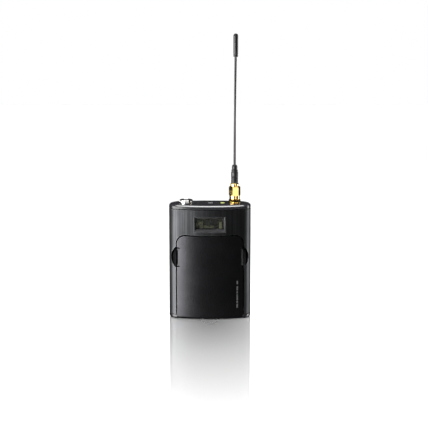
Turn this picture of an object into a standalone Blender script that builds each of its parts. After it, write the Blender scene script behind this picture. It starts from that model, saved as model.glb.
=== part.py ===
"""Wireless bodypack transmitter with a whip antenna and a belt clip.

Metres, +Z up. The origin is the middle of the flat base, the front faces -Y, and +X is the viewer's
right. A lens-shaped metal sleeve stands between two plastic end caps. The front carries the display
and, below it, the battery cover, which swings down on a pin at its foot.
"""

import math

import bmesh
import bpy
from mathutils import Matrix, Vector

MM = 0.001

# Body. Its section is a lens: a long arc for each face, joined by a short arc at each side.
BODY_WIDTH = 64.0 * MM
BODY_DEPTH = 25.0 * MM
BODY_HEIGHT = 91.1 * MM
FRONT_SIDE_RADIUS = 8.772 * MM
BACK_SIDE_RADIUS = 10.74 * MM
WALL = 1.6 * MM
GAP = 0.3 * MM  # between pieces that touch or slide
FINE_GAP = 0.15 * MM  # round trim that is pressed or glued in place
PIN_GAP = 0.1 * MM  # between a hinge pin and its bore
FACE_STEPS = 12
SIDE_STEPS = 5

# End caps
TOP_CAP_HEIGHT = 3.3 * MM
BOTTOM_CAP_HEIGHT = 3.1 * MM
TOP_FILLET = 2.0 * MM
BOTTOM_FILLET = 1.6 * MM
SEAM = 0.6 * MM
SEAL_INSET = 0.4 * MM
CAP_LIP_WALL = 1.2 * MM
CAP_LIP_HEIGHT = 3.0 * MM
TOP_PANEL = 1.8 * MM
BASE_PANEL = 2.6 * MM
NOTCH_X = 0.5 * MM
NOTCH_WIDTH = 2.7 * MM
NOTCH_DEPTH = 1.2 * MM

# Display
DISPLAY_WIDTH = 24.7 * MM
DISPLAY_HEIGHT = 12.3 * MM
DISPLAY_DROP = 15.45 * MM  # its middle, below the top of the body
GLASS_WIDTH = 22.0 * MM
GLASS_HEIGHT = 8.8 * MM
GLASS_LIFT = 0.55 * MM  # the glass sits above the middle of its frame
GLASS_THICKNESS = 1.0 * MM
BEZEL_DEPTH = 3.0 * MM
BEZEL_RIM = 0.35 * MM
BEVEL_DEPTH = 1.5 * MM
MODULE_THICKNESS = 2.5 * MM
MODULE_MARGIN = 1.0 * MM

# Battery cover and its hinge
COVER_SIDE_LAND = 6.2 * MM  # body left at each side of the cover
COVER_DROP = 25.1 * MM  # its top, below the top of the body
COVER_FOOT = 0.5 * MM  # its lower edge, above the base
COVER_WALL = 1.5 * MM
FOOT_WALL = 1.0 * MM
COVER_CORNER = 6.5 * MM
COVER_DIP = 0.5 * MM
HINGE_Y = 3.3 * MM  # behind the front of the body
HINGE_Z = 3.8 * MM
HINGE_PIN_RADIUS = 0.7 * MM
HINGE_BARREL_RADIUS = 1.5 * MM
BARREL_ARM_MARGIN = 0.3 * MM  # an arm is this much thinner, at each side, than the barrel it carries
COVER_BARREL_X = 6.0 * MM
BARREL_LENGTH = 3.0 * MM
HINGE_RECESS = 4.4 * MM  # room behind the hinge axis for the cover's foot
FOOT_RETURN = 2.6 * MM  # how far the cover's foot turns in behind the hinge axis

# Finger scoops and latches
SCOOP_BELOW_KEYS = 12.3 * MM  # their middle, below the keys
SCOOP_HEIGHT = 18.8 * MM
SCOOP_REACH = 4.7 * MM
SCOOP_DEPTH = 4.0 * MM
SCOOP_WALL = 1.2 * MM
NOTCH_IN_COVER = 1.2 * MM
LATCH_HEIGHT = 13.2 * MM
LATCH_DEPTH = 2.6 * MM
LATCH_LENGTH = 4.0 * MM
LATCH_TRAVEL = 1.2 * MM
LATCH_RIB = 1.0 * MM
SPRING_STOP_HEIGHT = 4.0 * MM
LATCH_SPRING_RADIUS = 0.85 * MM
LATCH_SPRING_WIRE = 0.15 * MM
LATCH_SPRING_LENGTH = 2.2 * MM
LATCH_SPRING_TURNS = 4

# Cells, their contacts and the tray that holds them
CELL_RADIUS = 7.2 * MM
CELL_LENGTH = 50.4 * MM
NUB_RADIUS = 2.75 * MM
NUB_HEIGHT = 1.0 * MM
CELL_SPACING = 15.8 * MM
CELL_Y = -1.3 * MM
CELL_CLEARANCE = 0.6 * MM
TRAY_FLOOR_Z = 7.8 * MM
TRAY_WALL = 1.2 * MM
TRAY_HOLD = 5.8 * MM  # how far the tray's sides reach in front of the cells' axes
CONTACT_THICKNESS = 0.4 * MM
CONTACT_WIDTH = 10.0 * MM
CONTACT_SPRING_HEIGHT = 3.3 * MM
CONTACT_SPRING_WIRE = 0.3 * MM
CONTACT_SPRING_TURNS = 3
PAD_WIDTH = 23.0 * MM
PAD_HEIGHT = 25.0 * MM

# Keys behind the cover
KEY_RADIUS = 2.2 * MM
KEY_HEIGHT = 1.5 * MM
KEY_STEM_RADIUS = 1.4 * MM
KEY_TRAVEL = 0.5 * MM
KEY_Y = 5.6 * MM  # front face of their shelf, in front of the middle plane
KEY_DROP = 4.6 * MM  # below the top of the tray
SHELF_WALL = 1.2 * MM
SWITCH_SIDE = 4.6 * MM
SWITCH_HEIGHT = 1.8 * MM

# Electronics
BOARD_WIDTH = 42.0 * MM
BOARD_THICKNESS = 1.0 * MM
BOARD_END_GAP = 5.0 * MM
SHIELD_WIDTH = 26.0 * MM
SHIELD_HEIGHT = 11.0 * MM
SHIELD_DEPTH = 3.4 * MM
SHIELD_WALL = 0.4 * MM

# Input connector
CONNECTOR_X = -18.6 * MM
CONNECTOR_RADIUS = 5.15 * MM
CONNECTOR_RISE = 2.6 * MM
RIM_CHAMFER = 0.4 * MM
CONNECTOR_BORE = 4.1 * MM
CONNECTOR_BARREL = 4.6 * MM
CONNECTOR_LENGTH = 10.0 * MM
INSERT_THICKNESS = 2.6 * MM
CONTACT_PIN_RADIUS = 0.45 * MM
CONTACT_PIN_CIRCLE = 1.9 * MM
CONTACT_PIN_RISE = 3.0 * MM
CONTACT_PINS = 4
CONNECTOR_NUT_RADIUS = 6.0 * MM
CONNECTOR_NUT_HEIGHT = 1.5 * MM

# Top panel trim
SYNC_X = -9.0 * MM
SYNC_WIDTH = 2.3 * MM
SYNC_LENGTH = 3.4 * MM
SLOT_X = 0.5 * MM
SLOT_LENGTH = 11.0 * MM
SLOT_WIDTH = 2.6 * MM
KNOB_LENGTH = 3.2 * MM
KNOB_RISE = 0.5 * MM
KNOB_TRAVEL = 3.0 * MM
SWITCH_BODY_HEIGHT = 4.0 * MM
LED_X = 10.0 * MM
LED_RADIUS = 1.7 * MM
LED_RISE = 0.5 * MM

# Antenna socket on the top panel
ANTENNA_X = 19.35 * MM
JACK_RADIUS = 3.0 * MM
JACK_BORE = 2.3 * MM
JACK_RISE = 6.9 * MM
JACK_DROP = 7.0 * MM
JACK_FLANGE = 1.0 * MM
JACK_FLANGE_REACH = 1.5 * MM
JACK_MOUTH = 2.0 * MM
WASHER_RADIUS = 4.95 * MM
WASHER_THICKNESS = 0.5 * MM
HEX_FLATS = 8.0 * MM
PANEL_NUT_HEIGHT = 2.0 * MM

# Antenna
SKIRT_RADIUS = 4.05 * MM
SKIRT_HEIGHT = 3.0 * MM
NUT_HEX_HEIGHT = 6.7 * MM
NUT_SHOULDER = 1.6 * MM
NECK_RADIUS = 2.3 * MM
COLLAR_HEIGHT = 0.8 * MM
FERRULE_RADIUS = 3.15 * MM
FERRULE_HEIGHT = 2.2 * MM
PLUG_PIN_RADIUS = 0.45 * MM
PLUG_PIN_REACH = 4.0 * MM  # how far it enters the jack
NUT_TURN = math.radians(11)
BOOT_RADIUS = 2.75 * MM
BOOT_HEIGHT = 14.4 * MM
BOOT_RING_RADIUS = 2.6 * MM
BOOT_GROOVE_RADIUS = 1.85 * MM
BOOT_BULB_RADIUS = 2.2 * MM
BOOT_MAIN_HEIGHT = 8.9 * MM
BOOT_RING_LOW = 9.5 * MM  # above the boot's foot
BOOT_RING_HEIGHT = 0.9 * MM
BOOT_BULB_HEIGHT = 3.75 * MM
BOOT_CHAMFER = 0.4 * MM
BOOT_RIBS = 3
BOOT_RIB_PITCH = 1.3 * MM
BOOT_RIB_GROOVE = 0.5 * MM
BOOT_RIB_DEPTH = 0.35 * MM
WHIP_RADIUS = 0.95 * MM
WHIP_LEAN = 0.7 * MM
WHIP_SEAT = 3.0 * MM
ANTENNA_HEIGHT = 132.8 * MM  # its tip, above the top of the body
TIP_RADIUS = 1.85 * MM
TIP_HEIGHT = 18.0 * MM

# Belt clip
CLIP_WIDTH = 16.0 * MM
CLIP_LENGTH = 52.0 * MM
CLIP_FLAT = 31.2 * MM  # its straight part, below the pivot
CLIP_KNEE = 37.4 * MM  # where it starts to lean in, below the pivot
CLIP_KNEE_LEAN = 0.5 * MM
CLIP_JAW_HIGH = 45.8 * MM
CLIP_JAW_LOW = 47.3 * MM
CLIP_FLARE = 1.8 * MM
CLIP_SHEET = 1.2 * MM
CLIP_PIVOT_DROP = 19.0 * MM  # below the top of the body
CLIP_PIVOT_Y = 5.0 * MM  # behind the back of the body
CLIP_PIN_RADIUS = 1.0 * MM
CLIP_BARREL_RADIUS = 1.9 * MM
CLIP_BARREL_LENGTH = 4.0 * MM
CLIP_PAD_HEIGHT = 9.0 * MM
CLIP_STANDOFF = 7.0 * MM  # outer face of the arm, behind the back of the body
BRACKET_HEIGHT = 19.0 * MM
EAR_HEIGHT = 6.0 * MM
CLIP_SPRING_RADIUS = 1.6 * MM
CLIP_SPRING_WIRE = 0.25 * MM
CLIP_SPRING_TURNS = 5.5
CLIP_SPRING_WINDOW = 4.2 * MM  # half the height of the arm's opening round the spring
SCREW_RADIUS = 1.0 * MM
SCREW_HEAD_RADIUS = 1.9 * MM
SCREW_HEAD_HEIGHT = 1.1 * MM
SCREW_SPREAD = 6.6 * MM  # of the clip's screws, from the pivot
BASE_SCREW_X = 19.0 * MM
BASE_SCREW_Y = 4.0 * MM
BASE_SCREW_LENGTH = 8.6 * MM

# Places that several pieces share
FRONT_Y = -BODY_DEPTH / 2
BACK_Y = BODY_DEPTH / 2
SECTION_SIZE = (BODY_WIDTH**2 + BODY_DEPTH**2) / 4
FRONT_RADIUS = (SECTION_SIZE - FRONT_SIDE_RADIUS * BODY_WIDTH) / (BODY_DEPTH - 2 * FRONT_SIDE_RADIUS)
BACK_RADIUS = (SECTION_SIZE - BACK_SIDE_RADIUS * BODY_WIDTH) / (BODY_DEPTH - 2 * BACK_SIDE_RADIUS)
FRONT_CENTRE_Y = FRONT_Y + FRONT_RADIUS
SLEEVE_LOW = BOTTOM_CAP_HEIGHT + SEAM
SLEEVE_HIGH = BODY_HEIGHT - TOP_CAP_HEIGHT - SEAM
LIP_INSET = WALL + GAP
CAVITY_INSET = LIP_INSET + CAP_LIP_WALL
COVER_HALF = BODY_WIDTH / 2 - COVER_SIDE_LAND
COVER_TOP = BODY_HEIGHT - COVER_DROP
HINGE_AXIS_Y = FRONT_Y + HINGE_Y
BULKHEAD_Y = HINGE_AXIS_Y + HINGE_RECESS
BARREL_ARM = HINGE_BARREL_RADIUS - BARREL_ARM_MARGIN
CAP_BARREL_X = COVER_BARREL_X + BARREL_LENGTH + GAP
DISPLAY_Z = BODY_HEIGHT - DISPLAY_DROP
GLASS_Z = DISPLAY_Z + GLASS_LIFT
BAY_HALF = CELL_SPACING / 2 + CELL_RADIUS + CELL_CLEARANCE
TRAY_HALF = BAY_HALF + TRAY_WALL
BAY_BACK = CELL_Y + CELL_RADIUS + CELL_CLEARANCE
TRAY_BACK = BAY_BACK + TRAY_WALL
TRAY_FRONT = CELL_Y - TRAY_HOLD
BAY_LOW = TRAY_FLOOR_Z + TRAY_WALL
BRIDGE_HIGH = BAY_LOW + GAP + CONTACT_THICKNESS
CELL_2_LOW = BRIDGE_HIGH + GAP
CELL_1_LOW = BRIDGE_HIGH + 2 * GAP + CONTACT_SPRING_HEIGHT
CONTACT_LOW = CELL_1_LOW + CELL_LENGTH + GAP
BAY_HIGH = CONTACT_LOW + CONTACT_THICKNESS + GAP
TRAY_HIGH = BAY_HIGH + TRAY_WALL
KEY_X = TRAY_HALF + KEY_RADIUS + GAP
KEY_Z = TRAY_HIGH - KEY_DROP
SCOOP_Z = KEY_Z - SCOOP_BELOW_KEYS
PAD_BACK_INSET = FRONT_RADIUS - math.hypot(CELL_SPACING / 2, FRONT_CENTRE_Y - CELL_Y) - CELL_RADIUS - GAP
BOARD_FRONT = TRAY_BACK + GAP
PANEL_UNDERSIDE = BODY_HEIGHT - TOP_PANEL
JACK_FLANGE_RADIUS = JACK_RADIUS + JACK_FLANGE_REACH
STACK_LOW = BODY_HEIGHT + 3 * GAP + WASHER_THICKNESS + PANEL_NUT_HEIGHT
NUT_HIGH = STACK_LOW + SKIRT_HEIGHT + NUT_HEX_HEIGHT
BOOT_LOW = NUT_HIGH + 2 * GAP + FERRULE_HEIGHT
BOOT_HIGH = BOOT_LOW + BOOT_HEIGHT
TIP_HIGH = BODY_HEIGHT + ANTENNA_HEIGHT
TIP_LOW = TIP_HIGH - TIP_HEIGHT
PIVOT_Y = BACK_Y + CLIP_PIVOT_Y
PIVOT_Z = BODY_HEIGHT - CLIP_PIVOT_DROP
BRACKET_FRONT = BACK_Y + GAP
BRACKET_BACK = BRACKET_FRONT + CLIP_SHEET

# Local axes of a piece to world axes. A piece made for "front" has its own +Z towards the viewer.
FACINGS = {
    "up": Matrix.Identity(4),
    "down": Matrix.Rotation(math.pi, 4, "X"),
    "front": Matrix.Rotation(math.pi / 2, 4, "X"),
    "back": Matrix.Rotation(-math.pi / 2, 4, "X"),
    "right": Matrix(((0, 0, 1, 0), (1, 0, 0, 0), (0, 1, 0, 0), (0, 0, 0, 1))),
}
WIDE_OPEN = 1.0 * MM  # how far a cutter runs past what it cuts
LAP = 0.02 * MM  # how far one cutter runs into the next


def clear_scene():
    for thing in list(bpy.data.objects):
        bpy.data.objects.remove(thing, do_unlink=True)


def collection(name, hidden=False):
    group = bpy.data.collections.new(name)
    group.hide_render = hidden
    bpy.context.scene.collection.children.link(group)
    return group


clear_scene()
PARTS = collection("bodypack_transmitter")
CUTTERS = collection("cutters", hidden=True)


# Modelling helpers


def placed(name, mesh, matrix=None):
    """A new object of the part, from a mesh and its place."""
    piece = bpy.data.objects.new(name, mesh)
    PARTS.objects.link(piece)
    if matrix:
        piece.matrix_world = matrix
    return piece


def helper(piece):
    """Makes a piece a cutter, or a shape to join: it isn't part of the object by itself."""
    PARTS.objects.unlink(piece)
    CUTTERS.objects.link(piece)
    piece.hide_render = True
    piece.display_type = "WIRE"
    return piece


def boolean(piece, tool, operation):
    step = piece.modifiers.new(tool.name, "BOOLEAN")
    step.operation = operation
    step.solver = "EXACT"
    step.object = helper(tool)


def cut(piece, *tools):
    for tool in tools:
        boolean(piece, tool, "DIFFERENCE")


def join(piece, *tools):
    for tool in tools:
        boolean(piece, tool, "UNION")


def keep_inside(piece, tool):
    boolean(piece, tool, "INTERSECT")


def finish(piece, colour, roughness, metallic=0.0):
    """A plain Principled material for one piece, and smooth shading except across sharp edges."""
    material = bpy.data.materials.new(piece.name)
    material.use_nodes = True
    shader = material.node_tree.nodes["Principled BSDF"]
    shader.inputs["Base Color"].default_value = (*colour, 1.0)
    shader.inputs["Roughness"].default_value = roughness
    shader.inputs["Metallic"].default_value = metallic
    piece.data.materials.append(material)
    if piece.type == "MESH":
        piece.data.shade_smooth()
        piece.data.set_sharp_from_angle(angle=math.radians(35))
    return piece


def move_origin(piece, point):
    """Puts a piece's origin on its joint's axis, and leaves its shape where it is."""
    piece.data.transform(Matrix.Translation(-Vector(point)))
    piece.location = point


def mesh_from_curve(name, curve):
    """The curve's solid as a mesh, with its caps welded and its flat faces made whole."""
    guide = bpy.data.objects.new(name, curve)
    PARTS.objects.link(guide)
    bpy.context.view_layer.update()
    evaluated = guide.evaluated_get(bpy.context.evaluated_depsgraph_get())
    mesh = bpy.data.meshes.new_from_object(evaluated)
    bpy.data.objects.remove(guide)
    shape = bmesh.new()
    shape.from_mesh(mesh)
    bmesh.ops.remove_doubles(shape, verts=shape.verts, dist=1e-7)
    bmesh.ops.dissolve_limit(
        shape, angle_limit=math.radians(0.3), verts=shape.verts, edges=shape.edges
    )
    bmesh.ops.recalc_face_normals(shape, faces=shape.faces)
    shape.to_mesh(mesh)
    shape.free()
    return mesh


def flat_piece(name, outlines, low, high, facing="up"):
    """A piece of one thickness from a flat outline and any holes, between two distances along its facing.

    Facing "up" takes (x, y) points, "front" (x, z) points and distances along Y, and "right" (y, z)
    points and distances along X.
    """
    curve = bpy.data.curves.new(name, "CURVE")
    curve.dimensions = "2D"
    curve.fill_mode = "BOTH"
    curve.extrude = (high - low) / 2
    for outline in outlines:
        spline = curve.splines.new("POLY")
        spline.points.add(len(outline) - 1)
        for point, (across, along) in zip(spline.points, outline):
            point.co = (across, along, 0.0, 1.0)
        spline.use_cyclic_u = True
    mesh = mesh_from_curve(name, curve)
    middle = (low + high) / 2
    lift = {"up": (0, 0, middle), "front": (0, middle, 0), "right": (middle, 0, 0)}[facing]
    mesh.transform(Matrix.Translation(lift) @ FACINGS[facing])
    return placed(name, mesh)


def block(name, low, high):
    """A box between its lowest and highest corners."""
    low, high = Vector(low), Vector(high)
    shape = bmesh.new()
    bmesh.ops.create_cube(shape, size=1.0)
    bmesh.ops.scale(shape, vec=high - low, verts=shape.verts)
    bmesh.ops.translate(shape, vec=(low + high) / 2, verts=shape.verts)
    mesh = bpy.data.meshes.new(name)
    shape.to_mesh(mesh)
    shape.free()
    return placed(name, mesh)


def round_edges(piece, width, segments, chosen):
    """Rounds the edges that chosen picks, from each edge's two ends."""
    shape = bmesh.new()
    shape.from_mesh(piece.data)
    edges = [edge for edge in shape.edges if chosen(*(vertex.co for vertex in edge.verts))]
    bmesh.ops.bevel(
        shape, geom=edges, offset=width, segments=segments, profile=0.5, affect="EDGES",
        clamp_overlap=True,
    )
    bmesh.ops.recalc_face_normals(shape, faces=shape.faces)
    shape.to_mesh(piece.data)
    shape.free()
    return piece


def both_at_height(height):
    return lambda one, other: abs(one.z - height) < 1e-6 and abs(other.z - height) < 1e-6


def turned(name, profile, centre, facing="up", steps=28, ring=False):
    """A turned piece. Its profile is (radius, height) points down its outer side; a ring's comes back up."""
    mesh = bpy.data.meshes.new(name)
    edges = [(i, i + 1) for i in range(len(profile) - 1)]
    if ring:
        edges.append((len(profile) - 1, 0))
    mesh.from_pydata([(radius, 0.0, height) for radius, height in profile], edges, [])
    piece = placed(name, mesh, Matrix.Translation(centre) @ FACINGS[facing])
    screw = piece.modifiers.new("turn", "SCREW")
    screw.steps = steps
    screw.render_steps = steps
    screw.use_merge_vertices = True
    screw.merge_threshold = 1e-6
    return piece


def rod(name, radius, low, high, centre, facing="up", steps=24):
    return turned(name, [(0, high), (radius, high), (radius, low), (0, low)], centre, facing, steps)


def ring(name, outer, inner, low, high, centre, facing="up", steps=28):
    profile = [(outer, high), (outer, low), (inner, low), (inner, high)]
    return turned(name, profile, centre, facing, steps, ring=True)


def wire(name, points, radius, resolution=2, thickness=None):
    """Round wire through the points. Thickness is the wire's relative radius at each point."""
    curve = bpy.data.curves.new(name, "CURVE")
    curve.dimensions = "3D"
    curve.bevel_depth = radius
    curve.bevel_resolution = resolution
    curve.use_fill_caps = True
    spline = curve.splines.new("POLY")
    spline.points.add(len(points) - 1)
    for index, (point, place) in enumerate(zip(spline.points, points)):
        point.co = (*place, 1.0)
        point.radius = thickness[index] if thickness else 1.0
    return placed(name, mesh_from_curve(name, curve))


def coil_points(turns, radius_low, radius_high, height, steps=12, start=0.0):
    """Points along a coil about +Z, from height 0 up."""
    count = round(turns * steps)
    points = []
    for i in range(count + 1):
        share = i / count
        radius = radius_low + (radius_high - radius_low) * share
        angle = start + math.tau * i / steps
        points.append(Vector((radius * math.cos(angle), radius * math.sin(angle), height * share)))
    return points


def moved(points, matrix):
    return [matrix @ point for point in points]


def circle(radius, x=0.0, y=0.0, steps=24):
    return [
        (x + radius * math.cos(math.tau * i / steps), y + radius * math.sin(math.tau * i / steps))
        for i in range(steps)
    ]


def hexagon(flats, x=0.0, y=0.0, turn=0.0):
    corner = flats / math.sqrt(3)
    angles = [turn + math.tau * i / 6 for i in range(6)]
    return [(x + corner * math.cos(a), y + corner * math.sin(a)) for a in angles]


def rectangle(left, right, low, high):
    return [(left, low), (right, low), (right, high), (left, high)]


def arc(x, y, radius, start, end, steps):
    """Points on an arc, both ends included."""
    angles = [start + (end - start) * i / steps for i in range(steps + 1)]
    return [(x + radius * math.cos(a), y + radius * math.sin(a)) for a in angles]


def half_section(face_radius, side, inset):
    """Points of a half of the section, from +X round to -X, moved inwards by inset.

    Its long arc meets its two side arcs without a corner.
    """
    side_x = BODY_WIDTH / 2 - side
    face_y = BODY_DEPTH / 2 - face_radius
    meet = math.atan2(-face_y, side_x)
    points = arc(side_x, 0, side - inset, 0, meet, SIDE_STEPS)
    points += arc(0, face_y, face_radius - inset, meet, math.pi - meet, FACE_STEPS)[1:-1]
    points += arc(-side_x, 0, side - inset, math.pi - meet, math.pi, SIDE_STEPS)
    return points


def section(inset=0.0):
    """The body's outline seen from above, moved inwards by inset."""
    back = half_section(BACK_RADIUS, BACK_SIDE_RADIUS, inset)
    front = [(-x, -y) for x, y in half_section(FRONT_RADIUS, FRONT_SIDE_RADIUS, inset)]
    return back + front[1:-1]


def front_face_y(x, inset=0.0):
    """Where the front face lies at a distance x from the middle, for places on its long arc."""
    return FRONT_CENTRE_Y - math.sqrt((FRONT_RADIUS - inset) ** 2 - x**2)


def cover_outline(margin, low):
    """The battery cover seen from the front: straight sides, rounded top corners and a dished top."""
    half = COVER_HALF + margin
    corner = COVER_CORNER + margin
    high = COVER_TOP + COVER_DIP + margin
    run = half - corner
    points = [(half, low)]
    points += arc(run, high - corner, corner, 0, math.pi / 2, 6)
    for i in range(1, 8):
        x = run * (1 - 2 * i / 8)
        points.append((x, high - COVER_DIP * (1 - (x / run) ** 2)))
    points += arc(-run, high - corner, corner, math.pi / 2, math.pi, 6)
    points.append((-half, low))
    return points


def scoop_outline(side, margin=0.0):
    """A finger scoop seen from the front: a straight edge under the cover, and one arc outside it."""
    half = SCOOP_HEIGHT / 2 + margin
    reach = SCOOP_REACH + margin
    radius = (half**2 + reach**2) / (2 * reach)
    spread = math.asin(half / radius)
    start = COVER_HALF - margin
    points = arc(start + reach - radius, SCOOP_Z, radius, -spread, spread, 12)
    inner = start - 2 * WIDE_OPEN
    points += [(inner, SCOOP_Z + half), (inner, SCOOP_Z - half)]
    return [(side * x, z) for x, z in points]


# Casing


def make_sleeve():
    sleeve = flat_piece("housing_sleeve", [section(), section(WALL)], SLEEVE_LOW, SLEEVE_HIGH)
    beyond = FRONT_Y - WIDE_OPEN
    half_width = DISPLAY_WIDTH / 2 + FINE_GAP
    half_height = DISPLAY_HEIGHT / 2 + FINE_GAP
    window = rectangle(-half_width, half_width, DISPLAY_Z - half_height, DISPLAY_Z + half_height)
    depth = -BODY_DEPTH / 4
    cut(
        sleeve,
        flat_piece("battery_opening", [cover_outline(GAP, -WIDE_OPEN)], beyond, depth / 2, "front"),
        flat_piece("display_opening", [window], beyond, depth, "front"),
    )
    for side, word in ((-1, "left"), (1, "right")):
        outline = scoop_outline(side)
        name = "finger_opening_" + word
        cut(sleeve, flat_piece(name, [outline], beyond, FRONT_Y + 2.5 * SCOOP_DEPTH, "front"))
    for spread, word in ((SCREW_SPREAD, "upper"), (-SCREW_SPREAD, "lower")):
        hole = rod(
            "clip_hole_" + word, SCREW_RADIUS + PIN_GAP, -2 * WALL, 2 * WALL,
            (0, BACK_Y - WALL / 2, PIVOT_Z + spread), "back",
        )
        cut(sleeve, hole)
    return finish(sleeve, (0.045, 0.045, 0.048), 0.34, 0.85)


def make_top_cap():
    low = BODY_HEIGHT - TOP_CAP_HEIGHT
    cap = flat_piece("top_cap", [section()], low, BODY_HEIGHT)
    round_edges(cap, TOP_FILLET, 4, both_at_height(BODY_HEIGHT))
    lip_low = low - SEAM - CAP_LIP_HEIGHT
    lip = flat_piece("top_lip", [section(LIP_INSET)], lip_low, BODY_HEIGHT - TOP_PANEL)
    join(cap, lip)
    holes = [
        flat_piece("top_cavity", [section(CAVITY_INSET)], lip_low - WIDE_OPEN, PANEL_UNDERSIDE),
        flat_piece(
            "trim_openings", [circle(LED_RADIUS + FINE_GAP, LED_X)],
            PANEL_UNDERSIDE - WIDE_OPEN, BODY_HEIGHT + WIDE_OPEN,
        ),
    ]
    for name, radius, x in (
        ("connector_opening", CONNECTOR_BARREL + GAP, CONNECTOR_X),
        ("antenna_opening", JACK_RADIUS + GAP, ANTENNA_X),
    ):
        outline = circle(radius, x)
        high = BODY_HEIGHT + WIDE_OPEN
        holes.append(flat_piece(name, [outline], PANEL_UNDERSIDE - WIDE_OPEN, high))
    for name, x, length, width in (
        ("sync_opening", SYNC_X, SYNC_WIDTH + 2 * FINE_GAP, SYNC_LENGTH + 2 * FINE_GAP),
        ("slot_opening", SLOT_X, SLOT_LENGTH, SLOT_WIDTH),
    ):
        low_corner = (x - length / 2, -width / 2, PANEL_UNDERSIDE - WIDE_OPEN)
        holes.append(block(name, low_corner, (x + length / 2, width / 2, BODY_HEIGHT + WIDE_OPEN)))
    notch = block(
        "rear_notch",
        (NOTCH_X - NOTCH_WIDTH / 2, BACK_Y - TOP_FILLET, BODY_HEIGHT - NOTCH_DEPTH),
        (NOTCH_X + NOTCH_WIDTH / 2, BACK_Y + WIDE_OPEN, BODY_HEIGHT + WIDE_OPEN),
    )
    cut(cap, *holes, notch)
    return finish(cap, (0.022, 0.022, 0.024), 0.3)


def make_bottom_cap():
    cap = flat_piece("bottom_cap", [section()], 0, BOTTOM_CAP_HEIGHT)
    round_edges(cap, BOTTOM_FILLET, 3, both_at_height(0))
    lip_high = BOTTOM_CAP_HEIGHT + SEAM + CAP_LIP_HEIGHT
    join(cap, flat_piece("bottom_lip", [section(LIP_INSET)], BASE_PANEL / 2, lip_high))
    cut(cap, flat_piece("bottom_cavity", [section(CAVITY_INSET)], BASE_PANEL, lip_high + WIDE_OPEN))
    bulkhead_half = COVER_HALF + GAP
    bulkhead = block(
        "bulkhead",
        (-bulkhead_half, BULKHEAD_Y, BASE_PANEL / 2),
        (bulkhead_half, BULKHEAD_Y + CAP_LIP_WALL, lip_high),
    )
    join(cap, bulkhead)
    recess = block(
        "hinge_recess",
        (-bulkhead_half, FRONT_Y - WIDE_OPEN, -WIDE_OPEN),
        (bulkhead_half, BULKHEAD_Y, lip_high + WIDE_OPEN),
    )
    cut(cap, recess)
    for side, word in ((-1, "left"), (1, "right")):
        inner, outer = sorted((side * CAP_BARREL_X, side * (CAP_BARREL_X + BARREL_LENGTH)))
        join(cap, block(
            "hinge_arm_" + word,
            (inner, HINGE_AXIS_Y, HINGE_Z + GAP),
            (outer, BULKHEAD_Y + CAP_LIP_WALL / 2, HINGE_Z + BARREL_ARM),
        ))
        centre = (0, HINGE_AXIS_Y, HINGE_Z)
        join(cap, rod("hinge_barrel_" + word, HINGE_BARREL_RADIUS, inner, outer, centre, "right", 20))
        foot = (side * BASE_SCREW_X, BASE_SCREW_Y, 0)
        head = SCREW_HEAD_RADIUS + GAP
        shank = SCREW_RADIUS + PIN_GAP
        seat = GAP + SCREW_HEAD_HEIGHT + PIN_GAP
        high = BASE_PANEL + WIDE_OPEN
        hole = [(0, high), (shank, high), (shank, seat), (head, seat), (head, -WIDE_OPEN), (0, -WIDE_OPEN)]
        cut(cap, turned("screw_seat_" + word, hole, foot, steps=20))
    bore = HINGE_PIN_RADIUS + PIN_GAP
    reach = CAP_BARREL_X + BARREL_LENGTH + WIDE_OPEN
    cut(cap, rod("cap_hinge_bore", bore, -reach, reach, (0, HINGE_AXIS_Y, HINGE_Z), "right", 20))
    return finish(cap, (0.022, 0.022, 0.024), 0.3)


def make_seals():
    """A thin seal in each seam. The lower one stops at the battery cover."""
    thickness = SEAM - 2 * FINE_GAP
    rings = [section(SEAL_INSET), section(WALL)]
    low = BODY_HEIGHT - TOP_CAP_HEIGHT - SEAM + FINE_GAP
    top = flat_piece("top_gasket", rings, low, low + thickness)
    low = BOTTOM_CAP_HEIGHT + FINE_GAP
    bottom = flat_piece("bottom_gasket", rings, low, low + thickness)
    half = COVER_HALF + GAP
    cut(bottom, block(
        "seal_gap",
        (-half, FRONT_Y - WIDE_OPEN, 0),
        (half, HINGE_AXIS_Y + HINGE_RECESS, SLEEVE_LOW + WIDE_OPEN),
    ))
    for seal in (top, bottom):
        finish(seal, (0.01, 0.01, 0.01), 0.8)


# Display


def tapered_opening(name, wide, narrow, front, back):
    """A cutter that narrows from the front to the back. Both outlines are (left, right, low, high)."""
    left, right, low, high = wide
    shape = block(name, (left, front, low), (right, back, high))
    middle = Vector(((left + right) / 2, 0, (low + high) / 2))
    for vertex in shape.data.vertices:
        if abs(vertex.co.y - back) < 1e-9:
            vertex.co.x = narrow[0] if vertex.co.x < middle.x else narrow[1]
            vertex.co.z = narrow[2] if vertex.co.z < middle.z else narrow[3]
    return shape


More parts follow.
